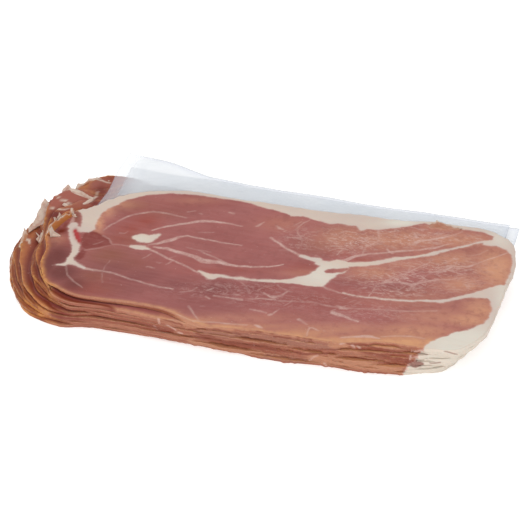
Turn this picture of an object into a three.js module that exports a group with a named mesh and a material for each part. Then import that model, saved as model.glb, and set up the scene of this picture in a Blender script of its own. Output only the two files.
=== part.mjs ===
// A stack of nine long, thin slices of dry-cured ham, with two interleaf sheets near its top.
// Millimetres. +X runs along the slices, +Y towards the edge where the sheets show, +Z up.
// Every slice is cut from the same leg, so one rim, given for the top and the bottom slice,
// is blended slice by slice: the stack leans, and its left end is fanned out in steps.
import * as THREE from 'three';

// Thicknesses and the air between neighbours
const sliceCount = 9;
const sliceThickness = 1.55;
const sheetThickness = 0.25;
const clearance = 0.3;

// The slices that each sheet lies under, counted from the bottom of the stack
const sheetSlices = { interleaf_upper: 9, interleaf_lower: 8 };

// Rim of the top and of the bottom slice, counter-clockwise seen from above, from the left nose.
// The zone says which row of the fan table blends a point.
const rimPoints = [
  { zone: 'noseHigh', top: [-116.4, -12], bottom: [-136.5, -13] },
  { zone: 'nose', top: [-112.8, -30.1], bottom: [-133.4, -29.1] },
  { zone: 'noseLow', top: [-107.4, -47], bottom: [-123.5, -49.4] },
  { zone: 'corner', top: [-96.2, -59.8], bottom: [-109.8, -64.4] },
  { zone: 'bend', top: [-78.8, -65.3], bottom: [-89.2, -70.6] },
  { zone: 'frontLeft', top: [-42, -64], bottom: [-64, -67.4] },
  { zone: 'front', top: [-13, -70.2], bottom: [-24, -66.8] },
  { zone: 'front', top: [20, -67.2], bottom: [12, -66.4] },
  { zone: 'front', top: [52, -66.2], bottom: [48, -64.4] },
  { zone: 'front', top: [80, -59.6], bottom: [77, -62.8] },
  { zone: 'right', top: [102, -56.3], bottom: [96, -57] },
  { zone: 'right', top: [119, -51], bottom: [108.5, -49.5] },
  { zone: 'right', top: [127, -31], bottom: [114.8, -34] },
  { zone: 'right', top: [128.4, -5], bottom: [117, -5] },
  { zone: 'right', top: [127.2, 22], bottom: [117.5, 22] },
  { zone: 'right', top: [123.6, 44], bottom: [112, 41] },
  { zone: 'right', top: [111, 52.8], bottom: [99, 51] },
  { zone: 'back', top: [84, 53.6], bottom: [74, 53] },
  { zone: 'back', top: [60, 48.8], bottom: [46, 51] },
  { zone: 'back', top: [20, 46.8], bottom: [8, 50] },
  { zone: 'back', top: [-25, 44.8], bottom: [-38, 52] },
  { zone: 'back', top: [-60, 43], bottom: [-76, 57.5] },
  { zone: 'lobe', top: [-83, 33], bottom: [-103.4, 60] },
  { zone: 'lobe', top: [-97, 21.4], bottom: [-117, 49] },
  { zone: 'flap', top: [-106, 9.6], bottom: [-126.6, 35.5] },
  { zone: 'flap', top: [-113.4, 2.6], bottom: [-134.2, 15] },
];

// How far each slice, from the bottom up, has gone from the top slice's rim to the bottom one's
const fan = {
  noseHigh: [1, 0.94, 0.9, 0.84, 0.75, 0.29, 0.19, 0.1, 0],
  nose: [1, 0.95, 0.9, 0.82, 0.72, 0.34, 0.26, 0.15, 0],
  noseLow: [1, 0.94, 0.89, 0.81, 0.64, 0.3, 0.25, 0.12, 0],
  corner: [1, 0.98, 0.92, 0.84, 0.67, 0.29, 0.25, 0.12, 0],
  bend: [1, 0.95, 0.91, 1.1, 0.93, 0.48, 0.65, 0.77, 0],
  frontLeft: [1, 1, 1, 1, 1, 0.95, 1.05, 1.15, 0],
  front: [1, 0.8, 0.9, 0.55, 0.65, 0.35, 0.45, 0.1, 0],
  right: [1, 0.9, 0.74, 0.66, 0.5, 0.42, 0.22, 0.14, 0],
  back: [1, 0.9, 0.9, 0.85, 0.8, 0.7, 0.5, 0.2, 0],
  lobe: [0.78, 0.86, 0.94, 1, 0.97, 0.62, 0.4, 0.16, 0],
  flap: [0.93, 1, 0.97, 0.92, 0.86, 0.84, 0.72, 0.34, 0],
};

// Rim samples between one rim point and the next: close together where the rim is ragged
const samplesInZone = {
  noseHigh: 5, nose: 5, noseLow: 5, corner: 5, bend: 5, frontLeft: 4, front: 4, right: 4,
  back: 4, lobe: 8, flap: 8,
};

// Waves of the cut rim: whole cycles once round the slice, height and turn from slice to slice
const rimWaves = [
  { cycles: 7, height: 0.6, turn: 1.7 },
  { cycles: 13, height: 0.4, turn: 2.9 },
  { cycles: 23, height: 0.3, turn: 4.1 },
];

// Torn tips on the left rim: slice, place on the rim in rim points, reach out and towards the back
const tornTips = [
  { slice: 1, at: 25.5, out: 1.6, back: 5.5 },
  { slice: 2, at: 25, out: 1.8, back: 5 },
  { slice: 3, at: 24.5, out: 1.6, back: 4.5 },
  { slice: 5, at: 25.25, out: 1.2, back: 5 },
  { slice: 6, at: 24.25, out: 1.6, back: 4 },
  { slice: 8, at: 25.625, out: 0.8, back: 5 },
  { slice: 9, at: 24.75, out: 1, back: 2.5 },
];

// The stack is a little lower under its fanned left end and swells gently along its length
const noseStart = -88;
const noseDrop = 0.00006;
const swellHeight = 0.012;
const swellLength = 240;

// One slice's torn flap stands up behind the top slice's left end, past a slanting line
const flapSlice = 7;
const flapLine = { x: -112, y: 21, slope: 1.05 };
const flapRise = 0.012;
const flapRiseMost = 2.6;

// Interleaf sheets: left, right, front and back edges, the slant of the left edge behind
// slantFrom, and the rise of the curled corner
const sheets = {
  interleaf_lower: { left: -97, right: 122.7, front: -34, back: 63.2, slant: -0.07, curl: 0 },
  interleaf_upper: { left: -97, right: 117.5, front: -47, back: 61.6, slant: 0.09, curl: 7.5 },
};
const slantFrom = 20;
const sheetColumns = 28;
const hiddenRows = 6;
const freeRows = 2;

// The left corner curls up past a slanting line behind the top slice. The free back edge
// ripples, and rises a little towards its right end.
const curlLine = { x: -60, y: 49, slope: 0.58, reach: 31.5, bendFrom: 5, bendTo: 22, bend: 0.75 };
const freeFrom = 55;
const ripple = { height: 0.3, length: 61 };
const rightRise = { from: 25, reach: 90, height: 1.8 };

// Faces are rings of vertices: the rim, a ring just inside it, and a sparse inner one
const ringCentre = [-1, -8];
const ringInner = 0.9;
const ringCore = 0.5;
const coreStep = 5;

const meatColour = new THREE.Color(0.64, 0.38, 0.35);
const sheetColour = new THREE.Color(0.85, 0.87, 0.9);

function stackHeight(x) {
  // Factor on every height in the stack at this place along it
  const pastNose = Math.max(0, noseStart - x);
  return 1 - noseDrop * pastNose ** 2 + swellHeight * Math.sin((2 * Math.PI * x) / swellLength);
}

function rimCurve(slice) {
  // Closed curve through the rim points of this slice
  const points = rimPoints.map(({ zone, top, bottom }) => {
    const share = fan[zone][slice - 1];
    const x = top[0] + share * (bottom[0] - top[0]);
    const y = top[1] + share * (bottom[1] - top[1]);
    return new THREE.Vector3(x, y, 0);
  });
  return new THREE.CatmullRomCurve3(points, true, 'catmullrom', 0.5);
}

function rimPlaces() {
  // Places on the rim, counted in rim points, at which every slice is sampled
  return rimPoints.flatMap(({ zone }, index) => {
    const count = samplesInZone[zone];
    return Array.from({ length: count }, (_, step) => index + step / count);
  });
}

function rimWobble(place, slice) {
  const round = (2 * Math.PI * place) / rimPoints.length;
  return rimWaves.reduce(
    (sum, { cycles, height, turn }) => sum + height * Math.sin(cycles * round + turn * slice), 0);
}

function sliceRim(slice) {
  // The rim samples, pushed outwards by the waves and at the torn tips
  const curve = rimCurve(slice);
  return rimPlaces().map((place) => {
    const share = place / rimPoints.length;
    const point = curve.getPoint(share);
    const along = curve.getTangent(share);
    const tip = tornTips.find((one) => one.slice === slice && one.at === place);
    const push = rimWobble(place, slice) + (tip ? tip.out : 0);
    return [point.x + along.y * push, point.y - along.x * push + (tip ? tip.back : 0)];
  });
}

function shrink(rim, factor) {
  const [cx, cy] = ringCentre;
  return rim.map(([x, y]) => [cx + (x - cx) * factor, cy + (y - cy) * factor]);
}

function flapLift(x, y, slice) {
  // Rise of the torn flap past a slanting line clear of the slices above
  if (slice !== flapSlice) return 0;
  const past = (y - flapLine.y) - flapLine.slope * (x - flapLine.x);
  const reach = Math.max(0, past);
  return Math.min(flapRiseMost, flapRise * reach ** 2);
}

function faceTriangles(count) {
  // Triangles of one face over the rings, then a fan round the centre, seen from above
  const rim = 0;
  const inner = count;
  const core = 2 * count;
  const coreCount = count / coreStep;
  const centre = core + coreCount;
  const triangles = [];
  for (let i = 0; i < count; i += 1) {
    const next = (i + 1) % count;
    triangles.push([rim + i, rim + next, inner + i], [inner + i, rim + next, inner + next]);
  }
  for (let j = 0; j < coreCount; j += 1) {
    const nextCore = (j + 1) % coreCount;
    for (let step = 0; step < coreStep; step += 1) {
      const from = j * coreStep + step;
      triangles.push([inner + from, inner + ((from + 1) % count), core + j]);
    }
    const corner = inner + (((j + 1) * coreStep) % count);
    triangles.push([core + j, corner, core + nextCore]);
    triangles.push([core + j, core + nextCore, centre]);
  }
  return triangles;
}

function closedSolid(lower, upper, faces, border) {
  // Two faces with the same triangles, joined by a wall along the border vertices
  const count = lower.length;
  const positions = [...lower, ...upper].flat();
  const index = [];
  for (const [a, b, c] of faces) {
    index.push(a + count, b + count, c + count, a, c, b);
  }
  border.forEach((from, place) => {
    const to = border[(place + 1) % border.length];
    index.push(from, to, to + count, from, to + count, from + count);
  });
  const geometry = new THREE.BufferGeometry();
  geometry.setAttribute('position', new THREE.Float32BufferAttribute(positions, 3));
  geometry.setIndex(index);
  return geometry;
}

function levels() {
  // Underside of every slice and sheet, stacked from the floor up
  const heights = {};
  let height = 0;
  for (let slice = 1; slice <= sliceCount; slice += 1) {
    for (const [name, above] of Object.entries(sheetSlices)) {
      if (above === slice) {
        heights[name] = height;
        height += sheetThickness + clearance;
      }
    }
    heights[`slice_${slice}`] = height;
    height += sliceThickness + clearance;
  }
  return heights;
}

function sliceGeometry(slice, level) {
  const rim = sliceRim(slice);
  const inner = shrink(rim, ringInner);
  const core = shrink(rim, ringCore).filter((_, i) => i % coreStep === 0);
  const plan = [...rim, ...inner, ...core, ringCentre];
  const atHeight = (height) => plan.map(([x, y]) =>
    [x, y, height * stackHeight(x) + flapLift(x, y, slice)]);
  const border = rim.map((_, i) => i);
  const faces = faceTriangles(rim.length);
  return closedSolid(atHeight(level), atHeight(level + sliceThickness), faces, border);
}

function sheetGeometry(name, level) {
  // A rectangle of paper-thin film, rippled along its free edge, with one corner curled up
  const { left, right, front, back, slant, curl } = sheets[name];
  const hidden = (row) => front + (freeFrom - front) * (1 - (1 - row / hiddenRows) ** 1.7);
  const shown = (row) => freeFrom + ((back - freeFrom) * (row + 1)) / freeRows;
  const rows = [
    ...Array.from({ length: hiddenRows + 1 }, (_, row) => hidden(row)),
    ...Array.from({ length: freeRows }, (_, row) => shown(row)),
  ];
  const sheetRows = rows.length - 1;
  const stride = rows.length;
  const plan = [];
  for (let column = 0; column <= sheetColumns; column += 1) {
    rows.forEach((y) => {
      const start = left - slant * (back - Math.max(y, slantFrom));
      plan.push([start + ((right - start) * column) / sheetColumns, y]);
    });
  }
  const lift = (x, y) => {
    const past = Math.max(0, y - curlLine.y - curlLine.slope * (x - curlLine.x));
    const free = Math.max(0, y - freeFrom) / (back - freeFrom);
    const wave = ripple.height * (1 + Math.sin((2 * Math.PI * x) / ripple.length));
    const rise = rightRise.height * (Math.max(0, x - rightRise.from) / rightRise.reach) ** 2;
    const bend = THREE.MathUtils.smoothstep(past, curlLine.bendFrom, curlLine.bendTo);
    const curled = curlLine.bend * bend + (1 - curlLine.bend) * (past / curlLine.reach);
    return curl * curled + free * (wave + rise);
  };
  const atHeight = (height) => plan.map(([x, y]) => [x, y, height * stackHeight(x) + lift(x, y)]);
  const faces = [];
  for (let column = 0; column < sheetColumns; column += 1) {
    for (let row = 0; row < sheetRows; row += 1) {
      const a = column * stride + row;
      const b = a + stride;
      faces.push([a, b, b + 1], [a, b + 1, a + 1]);
    }
  }
  const last = sheetColumns * stride;
  const border = [
    ...Array.from({ length: sheetColumns }, (_, i) => i * stride),
    ...Array.from({ length: sheetRows }, (_, i) => last + i),
    ...Array.from({ length: sheetColumns }, (_, i) => last + sheetRows - i * stride),
    ...Array.from({ length: sheetRows }, (_, i) => sheetRows - i),
  ];
  return closedSolid(atHeight(level), atHeight(level + sheetThickness), faces, border);
}

const stack = new THREE.Group();
const heights = levels();
const meat = new THREE.MeshStandardMaterial({ color: meatColour, roughness: 0.55, metalness: 0 });
const film = new THREE.MeshStandardMaterial({ color: sheetColour, roughness: 0.4, metalness: 0 });

for (let slice = 1; slice <= sliceCount; slice += 1) {
  const name = `slice_${slice}`;
  const mesh = new THREE.Mesh(sliceGeometry(slice, heights[name]), meat.clone());
  mesh.name = name;
  stack.add(mesh);
}
for (const name of Object.keys(sheets)) {
  const mesh = new THREE.Mesh(sheetGeometry(name, heights[name]), film.clone());
  mesh.name = name;
  stack.add(mesh);
}

// The origin is the middle of the stack's footprint, on the surface that it lies on
const box = new THREE.Box3().setFromObject(stack);
stack.position.set(-(box.min.x + box.max.x) / 2, -(box.min.y + box.max.y) / 2, 0);

export default stack;
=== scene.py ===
"""A stack of nine long, thin slices of dry-cured ham with two interleaf sheets near its top.

Every slice is cut from the same leg. One rim is blended slice by slice, so that the stack leans
and its left end is fanned out, and one set of fat seams and muscle tones, marked on the top
slice, is carried to every slice by its place between the slice's four sides.

Tables are in millimetres in the drawing's own frame: X along the slices, Y towards the edge where
the sheets show, Z up. Marks on the meat are given where the photograph shows them, as
(x, y, thickness) in its 530 x 530 pixels, and are laid on the top slice through the camera.
Meshes are written in metres in the shared frame.
"""

import math

import bpy
import numpy as np
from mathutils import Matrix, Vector


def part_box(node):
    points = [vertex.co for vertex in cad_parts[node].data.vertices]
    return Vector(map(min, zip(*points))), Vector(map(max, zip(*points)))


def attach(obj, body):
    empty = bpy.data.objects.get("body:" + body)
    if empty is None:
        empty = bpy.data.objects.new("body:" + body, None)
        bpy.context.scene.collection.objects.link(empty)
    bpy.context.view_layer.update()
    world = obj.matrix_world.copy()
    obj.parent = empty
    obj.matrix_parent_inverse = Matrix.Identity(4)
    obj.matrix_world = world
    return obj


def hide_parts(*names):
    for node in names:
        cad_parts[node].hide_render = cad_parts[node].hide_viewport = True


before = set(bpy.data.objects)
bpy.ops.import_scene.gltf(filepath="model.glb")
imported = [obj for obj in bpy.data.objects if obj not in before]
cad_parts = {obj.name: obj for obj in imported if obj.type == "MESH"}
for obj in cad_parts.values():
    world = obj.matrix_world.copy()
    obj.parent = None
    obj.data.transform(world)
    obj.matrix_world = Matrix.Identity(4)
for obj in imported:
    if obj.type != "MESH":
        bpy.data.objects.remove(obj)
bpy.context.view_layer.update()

bl_info = {
    "name": "Sliced dry-cured ham",
    "version": (1, 0, 0),
    "blender": (4, 5, 0),
    "location": "View3D > Sidebar > Ham",
    "description": "Builds a leaning stack of nine thin ham slices and its two interleaf sheets",
    "category": "Object",
}

MM = 0.001

# ---------------------------------------------------------------------------------------------
# The stack, as the solids have it
# ---------------------------------------------------------------------------------------------

SLICE_COUNT = 9
SLICE_THICKNESS = 1.55
SHEET_THICKNESS = 0.25
CLEARANCE = 0.3

# The slices that each sheet lies under, counted from the bottom of the stack
SHEET_SLICES = {"interleaf_upper": 9, "interleaf_lower": 8}

# Rim of the top and of the bottom slice, counter-clockwise from above, from the left nose
RIM_POINTS = (
    ("nose high", (-116.4, -12), (-136.5, -13)),
    ("nose", (-112.8, -30.1), (-133.4, -29.1)),
    ("nose low", (-107.4, -47), (-123.5, -49.4)),
    ("corner", (-96.2, -59.8), (-109.8, -64.4)),
    ("bend", (-78.8, -65.3), (-89.2, -70.6)),
    ("front left", (-42, -64), (-64, -67.4)),
    ("front", (-13, -70.2), (-24, -66.8)),
    ("front", (20, -67.2), (12, -66.4)),
    ("front", (52, -66.2), (48, -64.4)),
    ("front", (80, -59.6), (77, -62.8)),
    ("right", (102, -56.3), (96, -57)),
    ("right", (119, -51), (108.5, -49.5)),
    ("right", (127, -31), (114.8, -34)),
    ("right", (128.4, -5), (117, -5)),
    ("right", (127.2, 22), (117.5, 22)),
    ("right", (123.6, 44), (112, 41)),
    ("right", (111, 52.8), (99, 51)),
    ("back", (84, 53.6), (74, 53)),
    ("back", (60, 48.8), (46, 51)),
    ("back", (20, 46.8), (8, 50)),
    ("back", (-25, 44.8), (-38, 52)),
    ("back", (-60, 43), (-76, 57.5)),
    ("lobe", (-83, 33), (-103.4, 60)),
    ("lobe", (-97, 21.4), (-117, 49)),
    ("flap", (-106, 9.6), (-126.6, 35.5)),
    ("flap", (-113.4, 2.6), (-134.2, 15)),
)
RIM_COUNT = len(RIM_POINTS)

# How far each slice, from the bottom up, has gone from the top slice's rim to the bottom one's
FAN = {
    "nose high": (1, 0.94, 0.9, 0.84, 0.75, 0.29, 0.19, 0.1, 0),
    "nose": (1, 0.95, 0.9, 0.82, 0.72, 0.34, 0.26, 0.15, 0),
    "nose low": (1, 0.94, 0.89, 0.81, 0.64, 0.3, 0.25, 0.12, 0),
    "corner": (1, 0.98, 0.92, 0.84, 0.67, 0.29, 0.25, 0.12, 0),
    "bend": (1, 0.95, 0.91, 1.1, 0.93, 0.48, 0.65, 0.77, 0),
    "front left": (1, 1, 1, 1, 1, 0.95, 1.05, 1.15, 0),
    "front": (1, 0.8, 0.9, 0.55, 0.65, 0.35, 0.45, 0.1, 0),
    "right": (1, 0.9, 0.74, 0.66, 0.5, 0.42, 0.22, 0.14, 0),
    "back": (1, 0.9, 0.9, 0.85, 0.8, 0.7, 0.5, 0.2, 0),
    "lobe": (0.78, 0.86, 0.94, 1, 0.97, 0.62, 0.4, 0.16, 0),
    "flap": (0.93, 1, 0.97, 0.92, 0.86, 0.84, 0.72, 0.34, 0),
}

# Waves of the cut rim: whole cycles once round the slice, height, turn from slice to slice
RIM_WAVES = ((7, 0.6, 1.7), (13, 0.4, 2.9), (23, 0.3, 4.1))

# Torn tips on the left rim: slice, place on the rim in rim points, half width in rim points,
# reach out and towards the back
TORN_TIPS = (
    (1, 25.5, 0.1, 1.2, 5), (1, 25.2, 0.06, 0.6, 2.6), (2, 25, 0.09, 1.4, 4.6),
    (2, 25.4, 0.06, 0.8, 3), (3, 24.5, 0.09, 1.4, 4.2), (3, 25.1, 0.06, 0.6, 3),
    (4, 23.2, 0.07, 0.8, 2), (5, 25.25, 0.09, 1, 4.6), (5, 24.9, 0.06, 0.5, 2.6),
    (6, 24.25, 0.08, 1.2, 4), (7, 24.8, 0.07, 0.6, 3), (8, 25.62, 0.09, 0.8, 5),
    (8, 25.4, 0.06, 0.4, 3.4), (8, 25.15, 0.06, 0.4, 2.6), (9, 25.5, 0.05, 0.3, 1.4),
    (9, 25.25, 0.05, 0.3, 1.6), (9, 25.0, 0.05, 0.3, 1.3), (9, 24.75, 0.06, 0.8, 2),
)

# Notches in the left rim: slice, place on the rim, half width in rim points, depth
NOTCHES = ((1, 25.33, 0.2, 2.4), (2, 25.3, 0.2, 2.6), (3, 25.35, 0.22, 1.8), (4, 25.3, 0.2, 1.0))

# The stack is a little lower under its fanned left end and swells gently along its length
NOSE_START = -88
NOSE_DROP = 0.00006
SWELL_HEIGHT = 0.012
SWELL_LENGTH = 240

# One slice's torn flap stands up behind the top slice's left end, past a slanting line
FLAP_SLICE = 7
FLAP_LINE = {"x": -112, "y": 21, "slope": 1.05}
FLAP_RISE = 0.012
FLAP_RISE_MOST = 2.6

# Sheets: left, right, front and back edges, the slant of the left edge behind SLANT_FROM, and
# the rise of the curled corner
SHEETS = {
    "interleaf_lower": {
        "left": -97, "right": 122.7, "front": -34, "back": 63.2, "slant": -0.07, "curl": 0},
    "interleaf_upper": {
        "left": -97, "right": 117.5, "front": -47, "back": 61.6, "slant": 0.09, "curl": 7.5},
}
SLANT_FROM = 20

# A sheet curls up past a slanting line. Behind FREE_FROM its edge ripples, rises towards its
# right end and is crumpled a little
CURL_LINE = {"x": -60, "y": 49, "slope": 0.58, "reach": 31.5, "from": 5, "to": 22, "bend": 0.75}
FREE_FROM = 55
SHEET_RIPPLE = {"height": 0.3, "length": 61}
RIGHT_RISE = {"from": 25, "reach": 90, "height": 1.8}
CRUMPLE = {"height": 0.12, "length": 9, "from": 50, "to": 58}

# Samples along a sheet and across its hidden and its shown part, and where the shown part starts
SHEET_COLUMNS = 260
SHEET_HIDDEN_ROWS = 14
SHEET_SHOWN_ROWS = 40
SHEET_SHOWN_FROM = 28

# ---------------------------------------------------------------------------------------------
# The camera, also used to lay the marks on the top slice
# ---------------------------------------------------------------------------------------------

PHOTO_SIZE = 530
FOCAL_PIXELS = 2300
SENSOR_WIDTH = 36
CAMERA_AZIMUTH = math.radians(17)
CAMERA_ELEVATION = math.radians(35)
CAMERA_DISTANCE = 1210
CAMERA_AIM = np.array([0.0, 0.0, 9.0])
CAMERA_BACK = np.array([
    math.sin(CAMERA_AZIMUTH) * math.cos(CAMERA_ELEVATION),
    -math.cos(CAMERA_AZIMUTH) * math.cos(CAMERA_ELEVATION),
    math.sin(CAMERA_ELEVATION),
])
CAMERA_RIGHT = np.array([math.cos(CAMERA_AZIMUTH), math.sin(CAMERA_AZIMUTH), 0.0])
CAMERA_UP = np.cross(CAMERA_BACK, CAMERA_RIGHT)

# Level on which the marks are laid, and millimetres there to a pixel across and up the picture
MARK_HEIGHT = 17.5
PIXEL_ACROSS = 0.526
PIXEL_UP = 0.917

# Millimetres to a pixel of a line's thickness where it runs up the picture, and what a line
# across the picture has more
LINE_PIXEL = 0.55
LINE_PIXEL_MORE = 0.37

# ---------------------------------------------------------------------------------------------
# Marks on the meat, in pixels of the photograph
# ---------------------------------------------------------------------------------------------

# Thick fat: each line is (x, y, thickness) along one seam
FAT_SEAMS = {
    "bone oval": (
        (137, 237, 5), (142, 237.6, 8.6), (148, 239, 7.6), (154, 236.4, 6), (158, 235, 3)),
    "spindle by the oval": ((131.5, 246, 2), (137, 246.6, 4), (143, 247, 3.6), (149, 248.4, 1)),
    "main seam, middle": (
        (199, 271, 1.2), (205.5, 274, 2.6), (211, 277, 5.4), (217, 275.5, 3), (233.6, 277.6, 2),
        (256.5, 280.6, 2.2), (277, 281.6, 3)),
    "main seam, right": (
        (319, 263.5, 5), (328, 265.5, 6), (338, 263, 6), (347.5, 265, 4.6), (358.6, 265, 4.2),
        (365.7, 264.6, 3.8), (381, 262.4, 3.2), (393.8, 259.6, 3.0), (406.5, 257.7, 2.4),
        (421.8, 256, 1.8), (429, 255, 2.8), (434.6, 253.4, 4.2), (439, 251.8, 2.4),
        (444.8, 250.8, 1.8), (460, 247, 1.5), (474, 243.8, 1.3), (489.4, 241, 2.6)),
    "upper arm": ((300.5, 256.5, 2), (309, 258.9, 3), (318, 261, 4.4)),
    "lower right seam": (
        (342.8, 293.1, 0.8), (368.3, 298.2, 0.9), (387.4, 300, 1), (419, 300.9, 1.2),
        (442.2, 301.4, 2.4), (456.3, 298.7, 2.6), (470.3, 295.4, 3.4), (488.2, 292, 6.5),
        (503, 290, 10)),
    "nose seam": (
        (74, 224.5, 7), (71.5, 230, 4.8), (73, 238, 4.4), (76.4, 245, 5.4), (75.4, 250, 5.8),
        (72.4, 255, 5.6), (70, 260, 6), (64, 263.5, 2.6), (57, 264.4, 1)),
    "nose seam to the trapezoid": ((71, 226, 4), (79, 229.5, 5), (88, 230, 4)),
    "nose seam, low arm": ((70, 261, 5), (76, 263.2, 2.6), (84, 267.5, 1.8)),
}

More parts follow.
